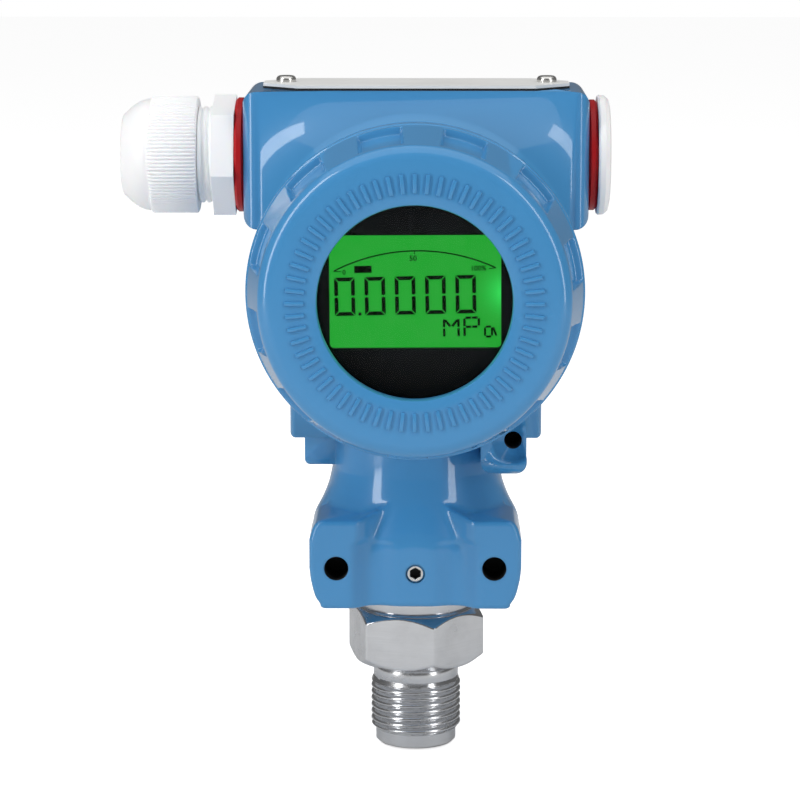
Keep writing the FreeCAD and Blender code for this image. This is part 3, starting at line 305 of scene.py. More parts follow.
def aboutSensorAxis(radius, angle, height):
    return np.stack((radius * np.cos(angle), radius * np.sin(angle), height), axis=2)


def inner(first, second, blend):
    # the lower of two values, eased into each other
    share = np.clip(0.5 + 0.5 * (second - first) / blend, 0, 1)
    return second * (1 - share) + first * share - blend * share * (1 - share)


def outer(first, second, blend):
    return -inner(-first, -second, blend)


def eased(value, start, end):
    share = np.clip((value - start) / (end - start), 0, 1)
    return share * share * (3 - 2 * share)


def mergedCopy(node):
    shape = bmesh.new()
    shape.from_mesh(nodes[node].data)
    bmesh.ops.remove_doubles(shape, verts=shape.verts, dist=1e-6)
    return shape


# process connector, in one piece from the end of the thread to the stem

connector = {
    "foot": 0.0, "pilot": 8.9, "pilotEnd": 3.0, "leadIn": 1.1,
    "pitch": 1.5, "crest": 10.0, "crestLoss": 0.03, "depth": 0.82, "grooveShape": 1.7,
    "lean": 0.07,   # tilts the crests to catch the side lamps; it isn't a form of the real thread
    "threadEnd": 14.9, "runout": 0.9, "shank": 9.45, "underHex": 8.7,
    "undercut": ((15.1, 9.32), (15.3, 9.45), (17.1, 9.45), (17.9, 9.2), (18.4, 8.8)),
    "flats": 27.0, "turn": 45.3, "hexBottom": 19.0, "hexTop": 31.0, "hexRows": 50, "hexInset": 0.02,
    "hexBlend": 0.18, "chamferRadius": 13.2, "chamferSlope": 0.78, "chamferFoot": 0.2,
    "collar": 12.6, "collarTop": 35.8, "collarBevel": 0.8, "neckRise": 0.3, "neckCut": 0.15, "neckEnd": 0.5,
    "collarCuts": ((33.6, 0), (33.75, 0.18), (33.9, 0.02), (35.1, 0.05), (35.5, 0.3)),
    "stem": 11.0, "stemTop": 62.0, "chamber": 8.5, "chamberFloor": 26.0, "port": 3.0, "portBevel": 0.5,
    "bevel": 0.6, "rowsPerTurn": 22, "around": 240,
}


def makeConnector():
    c = connector
    angle = np.linspace(0, 2 * np.pi, c["around"], endpoint=False)
    even = np.ones(c["around"])
    rows = [(c["foot"], (c["port"] + c["portBevel"]) * even), (c["foot"], (c["pilot"] - c["bevel"]) * even),
            (c["foot"] + c["bevel"], c["pilot"] * even)]
    steps = int((c["threadEnd"] - c["pilotEnd"]) / c["pitch"] * c["rowsPerTurn"])
    for height in np.linspace(c["pilotEnd"], c["threadEnd"], steps):
        phase = ((height - c["pitch"] * angle / (2 * np.pi)) / c["pitch"]) % 1.0
        wave = 2 * np.pi * phase
        groove = c["depth"] * (0.5 - 0.5 * np.cos(wave)) ** c["grooveShape"]
        cut = c["crest"] - c["crestLoss"] - groove - c["lean"] * np.sin(wave)
        lead = c["pilot"] + (height - c["pilotEnd"]) / c["leadIn"] * (c["crest"] - c["pilot"])
        runout = c["shank"] + (c["threadEnd"] - height) / c["runout"] * (c["crest"] - c["shank"])
        rows.append((height, np.minimum(cut, np.minimum(max(c["pilot"], lead), max(c["shank"], runout)))))
    for height, radius in (*c["undercut"], (c["hexBottom"], c["underHex"]),
                           (c["hexBottom"], c["chamferRadius"] - c["chamferFoot"])):
        rows.append((height, radius * even))
    side = np.radians((np.degrees(angle) - c["turn"]) % 60 - 30)
    flat = c["flats"] / 2 / np.cos(side)
    for height in np.linspace(c["hexBottom"] + c["hexInset"], c["hexTop"] - c["hexInset"], c["hexRows"]):
        low = c["chamferRadius"] + (height - c["hexBottom"]) / c["chamferSlope"]
        high = c["chamferRadius"] + (c["hexTop"] - height) / c["chamferSlope"]
        rows.append((height, inner(flat, min(low, high), c["hexBlend"])))
    collar = [(c["hexTop"], c["collar"]), (c["hexTop"] + c["neckRise"], c["collar"] - c["neckCut"]),
              (c["hexTop"] + c["neckEnd"], c["collar"]),
              *((height, c["collar"] - cut) for height, cut in c["collarCuts"]),
              (c["collarTop"], c["collar"] - c["collarBevel"])]
    stem = [(c["collarTop"], c["stem"]), (c["stemTop"] - c["bevel"], c["stem"]),
            (c["stemTop"], c["stem"] - c["bevel"])]
    bore = [(c["stemTop"], c["chamber"]), (c["chamberFloor"], c["chamber"]), (c["chamberFloor"], c["port"]),
            (c["foot"] + c["portBevel"], c["port"])]
    for height, radius in (*collar, *stem, *bore):
        rows.append((height, radius * even))
    shape = shellMesh("connector", np.array([row[1] for row in rows]), [row[0] for row in rows], aboutSensorAxis)
    piece = newPiece("connector_body", shape, steel, "sensor", 42)
    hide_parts("process_connector")


makeConnector()
print("process connector made")


# lower skirt of the casting: a bell with flat sides, two front ears and a hollow beside each ear

skirt = {
    "bottom": 36.0, "cut": 63.2, "neck": 18.1, "bellRadius": 26.9, "bellTurn": 44.0, "bellFall": (0.8795, 0.4759),
    "sideEdge": ((36.0, 19.4), (37.0, 20.5), (38.3, 21.4), (39.7, 21.9), (41.0, 22.2), (42.3, 22.5),
                 (45.0, 22.8), (51.0, 22.8), (53.5, 22.1), (55.6, 20.9)),
    "halfWidth": 22.9, "halfDepth": 23.2, "corner": 10.0, "footTop": 45, "footWidening": 0.5,
    "earFace": 25.0, "earTop": 55.4, "earInner": 12.3, "earBack": 8, "earTopSlope": 0.33, "pastEar": 9,
    "hollowSide": 8.4, "hollowCentre": 27.4, "hollowRadius": 5.2, "hollowTop": 50.0,
    "bellBlend": 4.0, "neckBlend": 3.2, "sideBlend": 1.1, "earBlend": 1.3, "earBackBlend": 0.5,
    "hollowBlend": 1.5, "bore": 11.05, "boreTop": 63.4, "neckTop": 75.0, "neckWall": 1.3, "neckCover": 0.05,
    "coverFrom": 59.0, "coverTo": 61.0, "footRounding": ((0, 1.1), (0.08, 0.65), (0.3, 0.27), (0.6, 0.07)),
    "bracketHole": (16.95, 45.0, 2.6, 11.0), "screwHole": (0.0, 43.4, 2.05, 11.0),
    "rowsFrom": 37.0, "fineFrom": 53.4, "fineTo": 57.6, "rowStep": 0.4, "fineStep": 0.16, "around": 480,
    "searchFrom": 14.0, "searchTo": 38.0, "searchSteps": 26,
}


def skirtField(x, y, z):
    # below zero inside the casting, above zero outside it
    k = skirt
    reach = np.hypot(x, y)
    across = np.abs(x)
    fall = k["bellFall"][0] * (reach - k["bellRadius"]) + k["bellFall"][1] * (z - k["bellTurn"])
    bell = outer(reach - k["bellRadius"], fall, k["bellBlend"])
    body = inner(bell, reach - k["neck"], k["neckBlend"])
    heights, widths = zip(*k["sideEdge"])
    edge = np.interp(z, heights, widths)
    footWidth = np.minimum(k["halfWidth"], edge + k["footWidening"])
    sideWidth = np.where(z < k["footTop"], footWidth, k["halfWidth"])
    sideX = across - sideWidth + k["corner"]
    sideY = np.abs(y) - k["halfDepth"] + k["corner"]
    flatSides = np.hypot(np.maximum(sideX, 0), np.maximum(sideY, 0)) + np.minimum(np.maximum(sideX, sideY), 0)
    body = outer(body, flatSides - k["corner"], k["sideBlend"])
    inward = np.maximum(k["earInner"] - across, 0)
    # 0.7071 makes the slanted flank's distance a true one, at 45 degrees
    flank = (inward - y - k["earFace"]) * 0.7071 * (inward > 0) - k["pastEar"] * (inward <= 0)
    ear = outer(across - edge, -y - k["earFace"], k["earBlend"])
    ear = outer(ear, flank, k["sideBlend"])
    ear = outer(ear, z - k["earTop"] - k["earTopSlope"] * inward, k["sideBlend"])
    casting = inner(body, outer(ear, y + k["earBack"], k["earBackBlend"]), k["earBlend"])
    fade = np.maximum(z - k["hollowTop"], 0)
    hollow = k["hollowRadius"] - np.hypot(across - k["hollowSide"], y + k["hollowCentre"]) - fade
    return outer(casting, hollow, k["hollowBlend"])


def cutAway(piece, shape, sharpAngle):
    # takes a bmesh away from a piece
    mesh = bpy.data.meshes.new("cutter")
    bmesh.ops.recalc_face_normals(shape, faces=shape.faces)
    shape.to_mesh(mesh)
    shape.free()
    cutter = bpy.data.objects.new("cutter", mesh)
    bpy.context.scene.collection.objects.link(cutter)
    modifier = piece.modifiers.new("cut", "BOOLEAN")
    modifier.operation, modifier.solver, modifier.object = "DIFFERENCE", "EXACT", cutter
    bpy.context.view_layer.update()
    ready = bpy.data.meshes.new_from_object(piece.evaluated_get(bpy.context.evaluated_depsgraph_get()))
    piece.modifiers.clear()
    bpy.data.objects.remove(cutter)
    finishMesh(ready, sharpAngle)
    piece.data = ready


holeCutter = {"start": -28.0, "extra": 2, "segments": 64, "edge": 0.02, "inside": 0.1}


def addHoleCutter(shape, side, height, radius, depth):
    h = holeCutter
    middle = Matrix.Translation((side * mm, (h["start"] + depth / 2) * mm, height * mm))
    level = Matrix.Rotation(math.radians(90), 4, "X")
    bmesh.ops.create_cone(shape, cap_ends=True, segments=h["segments"], radius1=radius * mm, radius2=radius * mm,
                          depth=(depth + h["extra"]) * mm, matrix=middle @ level)


def paintHoleShade(piece, holes, front):
    # paints the inside of each tapped hole near-black: painted shade over the bare thread
    piece.data.materials.append(holeShade)
    for polygon in piece.data.polygons:
        x, y, z = polygon.center / mm
        if any(math.hypot(x - side, z - height) < radius + holeCutter["edge"]
               and front + holeCutter["inside"] < y < 0 for side, height, radius, _ in holes):
            polygon.material_index = len(piece.data.materials) - 1


def makeSkirt():
    k = skirt
    heights = np.concatenate((np.arange(k["rowsFrom"], k["fineFrom"], k["rowStep"]),
                              np.arange(k["fineFrom"], k["fineTo"], k["fineStep"]),
                              np.arange(k["fineTo"], k["cut"], k["rowStep"]), [k["cut"]]))
    angle = np.linspace(0, 2 * np.pi, k["around"], endpoint=False)
    z = np.repeat(heights[:, None], k["around"], axis=1)
    near, far = np.full(z.shape, k["searchFrom"]), np.full(z.shape, k["searchTo"])
    for _ in range(k["searchSteps"]):
        middle = (near + far) / 2
        outside = skirtField(middle * np.cos(angle), middle * np.sin(angle), z) > 0
        far = np.where(outside, middle, far)
        near = np.where(outside, near, middle)
    foot = near[0]
    even = np.ones(k["around"])
    rows = [(k["bottom"], k["bore"] * even)]
    rows += [(k["bottom"] + rise, foot - inset) for rise, inset in k["footRounding"]]
    skin = k["neckCover"] * eased(heights, k["coverFrom"], k["coverTo"])[:, None]
    rows += list(zip(heights, near + skin))
    neck = k["neck"] + k["neckCover"]
    rows += [(k["neckTop"], neck * even), (k["neckTop"], (neck - k["neckWall"]) * even),
             (k["boreTop"], (neck - k["neckWall"]) * even), (k["boreTop"], k["bore"] * even)]
    shape = shellMesh("skirt", np.array([row[1] for row in rows]), [row[0] for row in rows], aboutSensorAxis)
    piece = newPiece("casting_skirt", shape, paint, "housing", 40)
    side, height, radius, depth = k["bracketHole"]
    holes = ((side, height, radius, depth), (-side, height, radius, depth))
    cutter = bmesh.new()
    for hole in (*holes, k["screwHole"]):
        addHoleCutter(cutter, *hole)
    cutAway(piece, cutter, 40)
    paintHoleShade(piece, holes, -k["earFace"])
    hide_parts("housing")


boss = {
    "leftFace": 5.0, "clear": 20.0, "outside": 30.0, "bottom": 62.0, "top": 71.4, "groundFace": 24.0,
    "groundHole": (20.9, 72.2, 1.9, 10.0), "neckInside": 18.0, "arcEnd": 52, "arcPoints": 12,
}


def makeUpperCasting():
    shape = mergedCopy("housing")
    bmesh.ops.bisect_plane(shape, geom=[*shape.verts, *shape.edges, *shape.faces], dist=1e-7,
                           plane_co=(0, 0, skirt["cut"] * mm), plane_no=(0, 0, -1), clear_outer=True)
    rim = [edge for edge in shape.edges if edge.is_boundary]
    bmesh.ops.bridge_loops(shape, edges=rim)
    bmesh.ops.recalc_face_normals(shape, faces=shape.faces)
    piece = newPiece("casting_upper", shape, paint, "housing", 30)
    b = boss
    radius = b["neckInside"]
    turns = np.linspace(math.asin(b["leftFace"] / radius), math.radians(b["arcEnd"]), b["arcPoints"])
    arc = [(-radius * math.cos(turn), -radius * math.sin(turn)) for turn in turns]
    outline = [(-b["outside"], -b["leftFace"]), *arc, (arc[-1][0], -b["clear"]), (-b["outside"], -b["clear"])]
    cutter = bmesh.new()
    foot = [cutter.verts.new((x * mm, y * mm, b["bottom"] * mm)) for x, y in outline]
    head = [cutter.verts.new((x * mm, y * mm, b["top"] * mm)) for x, y in outline]
    cutter.faces.new(foot)
    cutter.faces.new(head[::-1])
    for step in range(len(outline)):
        after = (step + 1) % len(outline)
        cutter.faces.new((foot[step], head[step], head[after], foot[after]))
    cutAway(piece, cutter, 30)
    paintHoleShade(piece, [b["groundHole"]], -b["groundFace"])
    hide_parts("housing")


makeSkirt()
makeUpperCasting()
print("casting made")


# front cover: twelve lugs between pockets, a rounded rim and a flat face round the window

cover = {
    "mouth": 34.0, "height": 19.5, "face": 18.95, "plain": 35.2, "ringEnd": 3.9, "lugFoot": 34.9, "lugHead": 32.1,
    "lugEnd": 16.2, "rimCentre": (29.0, 16.2), "rimRound": (3.1, 2.75), "aperture": 19.9, "lip": 16.0,
    "bore": 27.5, "spigot": 30.5, "spigotLength": 10.0, "spigotBevel": 1,
    "seat": 0.2, "seatCuts": ((0.2, 0.4), (0.32, 0.12), (0.6, 0)), "grooveRise": 0.5, "grooveCut": (0.15, 0.08),
    "pockets": 12, "pocketTurn": -12.4, "pocketHalf": 4.5, "pocketFloor": (33.4, 30.6), "pocketFrom": 4.7,
    "pocketTo": 15.8, "pocketEdge": 0.45, "pocketSoft": 0.1, "faceRings": (26.0, 22.5), "windowEdge": (0.15, 0.5),
    "around": 900,
}


def makeFrontCover():
    c = cover
    low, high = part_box("window_glass")
    middle = (low.z + high.z) / 2 / mm
    angle = np.linspace(0, 2 * np.pi, c["around"], endpoint=False)
    even = np.ones(c["around"])
    part = 360 / c["pockets"]
    fromPocket = np.abs((np.degrees(angle) - c["pocketTurn"] + part / 2) % part - part / 2)

    def lugs(height):
        share = (height - c["ringEnd"]) / (c["lugEnd"] - c["ringEnd"])
        top = c["lugFoot"] + (c["lugHead"] - c["lugFoot"]) * share
        floor = c["pocketFloor"][0] + (c["pocketFloor"][1] - c["pocketFloor"][0]) * share
        side = np.radians(fromPocket) * floor
        opened = (1 - eased(side, c["pocketHalf"] - c["pocketEdge"], c["pocketHalf"] + c["pocketSoft"]))
        opened = opened * eased(height, c["pocketFrom"], c["pocketFrom"] + c["pocketEdge"])
        opened = opened * (1 - eased(height, c["pocketTo"] - c["pocketEdge"], c["pocketTo"]))
        return top - opened * (top - floor)

    cutRise, cutDepth = c["grooveCut"]
    rows = [(-c["spigotLength"], c["spigot"] - c["spigotBevel"]),
            (c["spigotBevel"] - c["spigotLength"], c["spigot"]), (c["seat"], c["spigot"]),
            *((height, c["plain"] - cut) for height, cut in c["seatCuts"]),
            (c["ringEnd"] - c["grooveRise"], c["plain"]), (c["ringEnd"] - cutRise, c["plain"] - cutDepth)]
    rows = [(height, radius * even) for height, radius in rows]
    # rows stand closer where a pocket opens and closes
    heights = [c["ringEnd"], 4.4, *np.linspace(4.7, 5.2, 6), *np.arange(6.0, 15.1, 1.3),
               *np.linspace(15.3, 15.85, 7), c["lugEnd"]]
    rows += [(height, lugs(height)) for height in heights]
    (rimX, rimY), (rimWide, rimDeep) = c["rimCentre"], c["rimRound"]
    for turn in np.radians(np.arange(10, 91, 10)):
        rows.append((rimY + rimDeep * np.sin(turn), (rimX + rimWide * np.cos(turn)) * even))
    fine, coarse = c["windowEdge"]
    for height, radius in (*((c["face"], ring) for ring in c["faceRings"]), (c["face"], c["aperture"] + coarse),
                           (c["face"] - fine, c["aperture"] + fine), (c["face"] - coarse, c["aperture"]),
                           (c["lip"], c["aperture"]), (c["lip"], c["bore"]), (-c["spigotLength"], c["bore"])):
        rows.append((height, radius * even))

    def aboutBarrel(radius, angle, height):
        return np.stack((radius * np.sin(angle), -c["mouth"] - height, middle + radius * np.cos(angle)), axis=2)

    shape = shellMesh("frontCover", np.array([row[1] for row in rows]), [row[0] for row in rows], aboutBarrel)
    piece = newPiece("cover_front", shape, crispPaint, "front_cover", 38)
    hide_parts("front_cover")


makeFrontCover()
print("front cover made")


# gland: fluted nut and the thread that shows beside it; lock screw with a hexagon socket

gland = {
    "face": -37.0, "threadFrom": 6.95, "threadTo": 10.0, "threadRoot": 9.98, "threadCrest": 10.45,
    "threadInside": 9.92, "threadTurns": 2.2, "threadRows": 40, "threadColumns": 160, "threadShape": 1.6,
    "nutFrom": 10.2, "nutTo": 26.7, "domeFrom": 20.3, "nut": 12.65, "fluteDepth": 0.42, "flutes": 96,
    "fluteShape": 2.2, "columnsPerFlute": 8, "dome": 8.8, "domeRows": 12, "domeShape": 1.9, "bore": 10.05,
    "mouth": 5.4,
}
lockScrew = {
    "height": 43.4, "radius": 1.95, "back": -11.4, "backBevel": 0.5, "face": -22.95, "bevel": 0.3, "socket": 2.2,
    "socketDepth": 1.8, "socketBevel": 0.12, "drillPoint": 0.3, "socketReach": 0.56, "around": 96,
}


def aboutGlandAxis(radius, angle, height):
    low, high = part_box("gland_oring")
    middle = (low.z + high.z) / 2 / mm
    return np.stack((gland["face"] - height, radius * np.cos(angle), middle + radius * np.sin(angle)), axis=2)


def makeGlandThread():
    g = gland
    angle = np.linspace(0, 2 * np.pi, g["threadColumns"], endpoint=False)
    rows = [(g["threadFrom"], g["threadInside"] + 0 * angle)]
    pitch = (g["threadTo"] - g["threadFrom"]) / g["threadTurns"]
    for height in np.linspace(g["threadFrom"], g["threadTo"], g["threadRows"]):
        phase = (height - g["threadFrom"]) / pitch + angle / (2 * np.pi)
        groove = (0.5 + 0.5 * np.cos(2 * np.pi * phase)) ** g["threadShape"]
        rows.append((height, g["threadCrest"] - (g["threadCrest"] - g["threadRoot"]) * groove))
    rows.append((g["threadTo"], g["threadInside"] + 0 * angle))
    shape = shellMesh("glandThread", np.array([row[1] for row in rows]), [row[0] for row in rows], aboutGlandAxis)
    newPiece("gland_thread", shape, nylon, "housing", 50)


def makeGlandNut():
    g = gland
    columns = g["flutes"] * g["columnsPerFlute"]
    angle = np.linspace(0, 2 * np.pi, columns, endpoint=False)
    groove = g["fluteDepth"] * (0.5 + 0.5 * np.cos(g["flutes"] * angle)) ** g["fluteShape"]
    full, root, end = g["nut"], g["nut"] - g["fluteDepth"], g["nutTo"]
    profile = [(g["nutFrom"], g["bore"], 0), (g["nutFrom"], root - 0.4, 0),
               (g["nutFrom"] + 0.05, full - 0.35, 0.6), (g["nutFrom"] + 0.35, full, 1),
               (g["domeFrom"] - 0.3, full, 1), (g["domeFrom"], full - 0.2, 0.7),
               (g["domeFrom"] + 0.25, root - 0.1, 0)]
    for share in np.linspace(0.1, 1, g["domeRows"]):
        profile.append((g["domeFrom"] + 0.25 + (end - 0.7 - g["domeFrom"] - 0.25) * share,
                        root - 0.1 - (root - 0.1 - g["dome"] - 0.35) * share ** g["domeShape"], 0))
    profile += [(end - 0.3, g["dome"], 0), (end - 0.05, g["dome"] - 0.5, 0), (end, g["dome"] - 1.0, 0),
                (end, g["mouth"] + 0.4, 0), (end - 0.4, g["mouth"], 0), (end - 4.4, g["mouth"], 0),
                (end - 6.2, g["bore"], 0)]
    radii = np.array([radius - share * groove for _, radius, share in profile])
    shape = shellMesh("glandNut", radii, [row[0] for row in profile], aboutGlandAxis)
    piece = newPiece("gland_nut_fluted", shape, nylon, "gland_nut", 50)
    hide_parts("gland_nut")


def makeLockScrew():
    k = lockScrew
    angle = np.linspace(0, 2 * np.pi, k["around"], endpoint=False)
    even = np.ones(k["around"])
    side = np.radians(np.degrees(angle) % 60 - 30)
    hexagon = k["socket"] / 2 / np.cos(side)
    floor = k["face"] + k["socketDepth"]
    rows = [(k["back"], 0 * even), (k["back"], (k["radius"] - k["backBevel"]) * even),
            (k["back"] - k["backBevel"], k["radius"] * even), (k["face"] + k["bevel"], k["radius"] * even),
            (k["face"], (k["radius"] - k["bevel"]) * even), (k["face"], hexagon + k["socketBevel"]),
            (k["face"] + k["socketBevel"], hexagon), (floor, hexagon), (floor + k["drillPoint"], 0 * even)]

    def aboutScrew(radius, angle, height):
        return np.stack((radius * np.sin(angle), height, k["height"] + radius * np.cos(angle)), axis=2)

    shape = shellMesh("lockScrew", np.array([row[1] for row in rows]), [row[0] for row in rows], aboutScrew,
                      solid=True)
    piece = newPiece("lock_screw_socket", shape, screwSteel, "housing", 30)
    # the socket's inside takes the near-black painted shade
    for polygon in piece.data.polygons:
        off = math.hypot(polygon.center.x, polygon.center.z - k["height"] * mm)
        if polygon.center.y > (k["face"] + k["bevel"]) * mm and off < k["socket"] * k["socketReach"] * mm:
            polygon.material_index = 1
    piece.data.materials.append(holeShade)
    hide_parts("rotation_lock_screw")


makeGlandThread()
makeGlandNut()
makeLockScrew()
print("gland and lock screw made")


# display: lit green panel with dark segments

display = {
    "turn": 1.3, "lift": 0.03, "thick": 0.02, "digitX": (-14.68, -8.38, -2.09, 4.21, 10.5), "digitY": -0.85,
    "digitWidth": 4.3, "digitHeight": 8.05, "bar": 0.80, "gap": 0.14, "point": (-11.6, -4.55, 0.62),
    "arcHalf": 16.85, "arcRise": 3.9, "arcFoot": 4.55, "arcLine": 0.28, "arcSteps": 48, "tickLine": 0.18,
    "endTick": (1.5, 0.15), "midTick": 0.7, "glow": (18.9, -0.6), "glowReach": 7.0,
    "tag": (-10.76, 4.8, 1.8, 0.74), "numbers": (("50", -0.3, 6.85, 1.15), ("0", -14.7, 4.2, 1.0),
                                                 ("100%", 13.2, 4.5, 1.1)),
}
barrelCentre = (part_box("lcd_panel")[0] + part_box("lcd_panel")[1]) / 2
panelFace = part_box("lcd_panel")[0].y


def onPanel(x, y, lift):
    # a point of the display's own plane, in millimetres, put on the panel's front face
    angle = math.radians(display["turn"])
    across = x * math.cos(angle) - y * math.sin(angle)
    up = x * math.sin(angle) + y * math.cos(angle)
    return Vector((barrelCentre.x + across * mm, panelFace - lift * mm, barrelCentre.z + up * mm))


def addPatch(shape, outline):
    # a thin closed plate with the given outline
    front = [shape.verts.new(onPanel(x, y, display["lift"] + display["thick"])) for x, y in outline]
    back = [shape.verts.new(onPanel(x, y, display["lift"])) for x, y in outline]
    shape.faces.new(front)
    shape.faces.new(back[::-1])
    for step in range(len(outline)):
        following = (step + 1) % len(outline)
        shape.faces.new((front[step], back[step], back[following], front[following]))


def addStroke(shape, start, end, width):
    along = Vector(end) - Vector(start)
    side = Vector((-along.y, along.x)).normalized() * width / 2
    a, b = Vector(start), Vector(end)
    addPatch(shape, [tuple(a - side), tuple(b - side), tuple(b + side), tuple(a + side)])


def addZero(shape, x, y):
    w, h, t, g = display["digitWidth"] / 2, display["digitHeight"] / 2, display["bar"], display["gap"]
    for side in (1, -1):
        addPatch(shape, [(x - w + g, y + side * h), (x + w - g, y + side * h),
                         (x + w - t - g, y + side * (h - t)), (x - w + t + g, y + side * (h - t))])
        for end in (1, -1):
            addPatch(shape, [(x + side * w, y + end * (h - g)), (x + side * w, y + end * (t / 2 - 0.1)),
                             (x + side * (w - t / 2), y + end * g), (x + side * (w - t), y + end * (t / 2 - 0.1)),
                             (x + side * (w - t), y + end * (h - t - g))])


# each letter: its middle, its line's width, and its strokes from end to end
unitStrokes = {
    "m": ((7.35, -7.84), 0.50, (
        ((-1.5, -1.8), (-1.5, -0.15)), ((-1.5, 0.15), (-1.5, 1.8)), ((1.5, -1.8), (1.5, -0.15)),
        ((1.5, 0.15), (1.5, 1.8)), ((-1.25, 1.6), (-0.2, 0.3)), ((0.2, 0.3), (1.25, 1.6)))),
    "p": ((11.6, -7.7), 0.50, (
        ((-1.5, -1.9), (-1.5, -0.15)), ((-1.5, 0.15), (-1.5, 1.75)), ((-1.25, 1.9), (-0.1, 1.9)),
        ((0.1, 1.9), (1.25, 1.9)), ((1.5, 1.75), (1.5, 0.2)), ((-1.2, 0.0), (-0.1, 0.0)),
        ((0.1, 0.0), (1.2, 0.0)))),
    "a": ((15.5, -8.8), 0.44, (
        ((-1.15, -0.85), (-1.15, 0.85)), ((-1.0, 1.05), (0.1, 1.05)), ((0.3, 0.85), (0.3, -0.85)),
        ((-1.0, -1.05), (0.1, -1.05)), ((0.55, 0.9), (1.2, -0.9)))),
}


def addText(shape, words, x, y, height):
    # built-in lettering for the dial's numbers, meshed flat and set on the panel
    curve = bpy.data.curves.new("dialNumber", "FONT")
    curve.body = words
    curve.align_x, curve.align_y = "CENTER", "CENTER"
    curve.size = height * 1.38
    curve.resolution_u = 3
    curve.offset = 0.03
    holder = bpy.data.objects.new("dialNumber", curve)
    bpy.context.scene.collection.objects.link(holder)
    bpy.context.view_layer.update()
    flat = bpy.data.meshes.new_from_object(holder.evaluated_get(bpy.context.evaluated_depsgraph_get()))
    bpy.data.objects.remove(holder)
    for polygon in flat.polygons:
        corners = [flat.vertices[index].co for index in polygon.vertices]
        shape.faces.new([shape.verts.new(onPanel(x + c.x, y + c.y, display["lift"] + display["thick"]))
                         for c in corners])
    bpy.data.meshes.remove(flat)


def makeSegments():
    d = display
    shape = bmesh.new()
    for x in d["digitX"]:
        addZero(shape, x, d["digitY"])
    x, y, side = d["point"]
    addPatch(shape, [(x - side / 2, y - side / 2), (x + side / 2, y - side / 2), (x + side / 2, y + side / 2),
                     (x - side / 2, y + side / 2)])
    for (cx, cy), width, strokes in unitStrokes.values():
        for start, end in strokes:
            addStroke(shape, (cx + start[0], cy + start[1]), (cx + end[0], cy + end[1]), width)
    radius = (d["arcHalf"] ** 2 + d["arcRise"] ** 2) / (2 * d["arcRise"])
    reach = math.asin(d["arcHalf"] / radius)
    centreY = d["arcFoot"] + d["arcRise"] - radius
    steps = d["arcSteps"]
    turns = [reach * (2 * n / steps - 1) for n in range(steps + 1)]
    spots = [(radius * math.sin(turn), centreY + radius * math.cos(turn)) for turn in turns]
    for start, end in zip(spots, spots[1:]):
        addStroke(shape, start, end, d["arcLine"])
    inward, fall = d["endTick"]
    for side in (-1, 1):
        addStroke(shape, (side * d["arcHalf"], d["arcFoot"]),
                  (side * (d["arcHalf"] - inward), d["arcFoot"] - fall), d["tickLine"])
    arcTop = d["arcFoot"] + d["arcRise"]
    addStroke(shape, (0, arcTop), (0, arcTop - d["midTick"]), d["tickLine"])
    bmesh.ops.recalc_face_normals(shape, faces=shape.faces)
    for words, x, y, height in d["numbers"]:
        addText(shape, words, x, y, height)
    newPiece("display_segments", shape, ink, "display", 30)


def makeLabelTag():
    # a plain dark tag on the panel
    shape = bmesh.new()
    x, y, halfWidth, halfHeight = display["tag"]
    addPatch(shape, [(x - halfWidth, y - halfHeight), (x + halfWidth, y - halfHeight),
                     (x + halfWidth, y + halfHeight), (x - halfWidth, y + halfHeight)])
    bmesh.ops.recalc_face_normals(shape, faces=shape.faces)
    newPiece("display_tag", shape, ink, "display", 30)


def makeLitPanel():
    material = bpy.data.materials.new("litPanel")
    material.use_nodes = True
    wiring = Wiring(material.node_tree)
    shader = material.node_tree.nodes["Principled BSDF"]
    place = wiring.add("ShaderNodeTexCoord").outputs["Object"]
    centre = onPanel(*display["glow"], 0)
    reach = wiring.add("ShaderNodeVectorMath", operation="DISTANCE")
    wiring.join(place, reach.inputs[0])
    reach.inputs[1].default_value = centre
    near = wiring.spread(reach.outputs["Value"], 0.0, display["glowReach"] * mm, 1.0, 0.0)
    near = wiring.math("POWER", near, 1.8)
    mottled = wiring.spread(wiring.noise(place, 260.0, 3.0), 0.3, 0.7)
    field = wiring.blend(mottled, tone(40, 162, 53), tone(32, 160, 47))
    glow = wiring.blend(near, field, tone(60, 235, 100))
    wiring.join(glow, shader.inputs["Emission Color"])
    wiring.join(wiring.spread(mottled, 0.0, 1.0, 0.30, 0.36), shader.inputs["Roughness"])
    shader.inputs["Base Color"].default_value = (0.004, 0.02, 0.005, 1)
    shader.inputs["Emission Strength"].default_value = 1.0
    shader.inputs["Specular IOR Level"].default_value = 0.1
    return material


litPanel = makeLitPanel()
makeSegments()
makeLabelTag()
print("display made")


# ring of raised marks on the front cover

coverMarks = {"count": 60, "radius": 24.4, "length": 4.0, "width": 0.85, "height": 0.52, "bevel": 0.16}


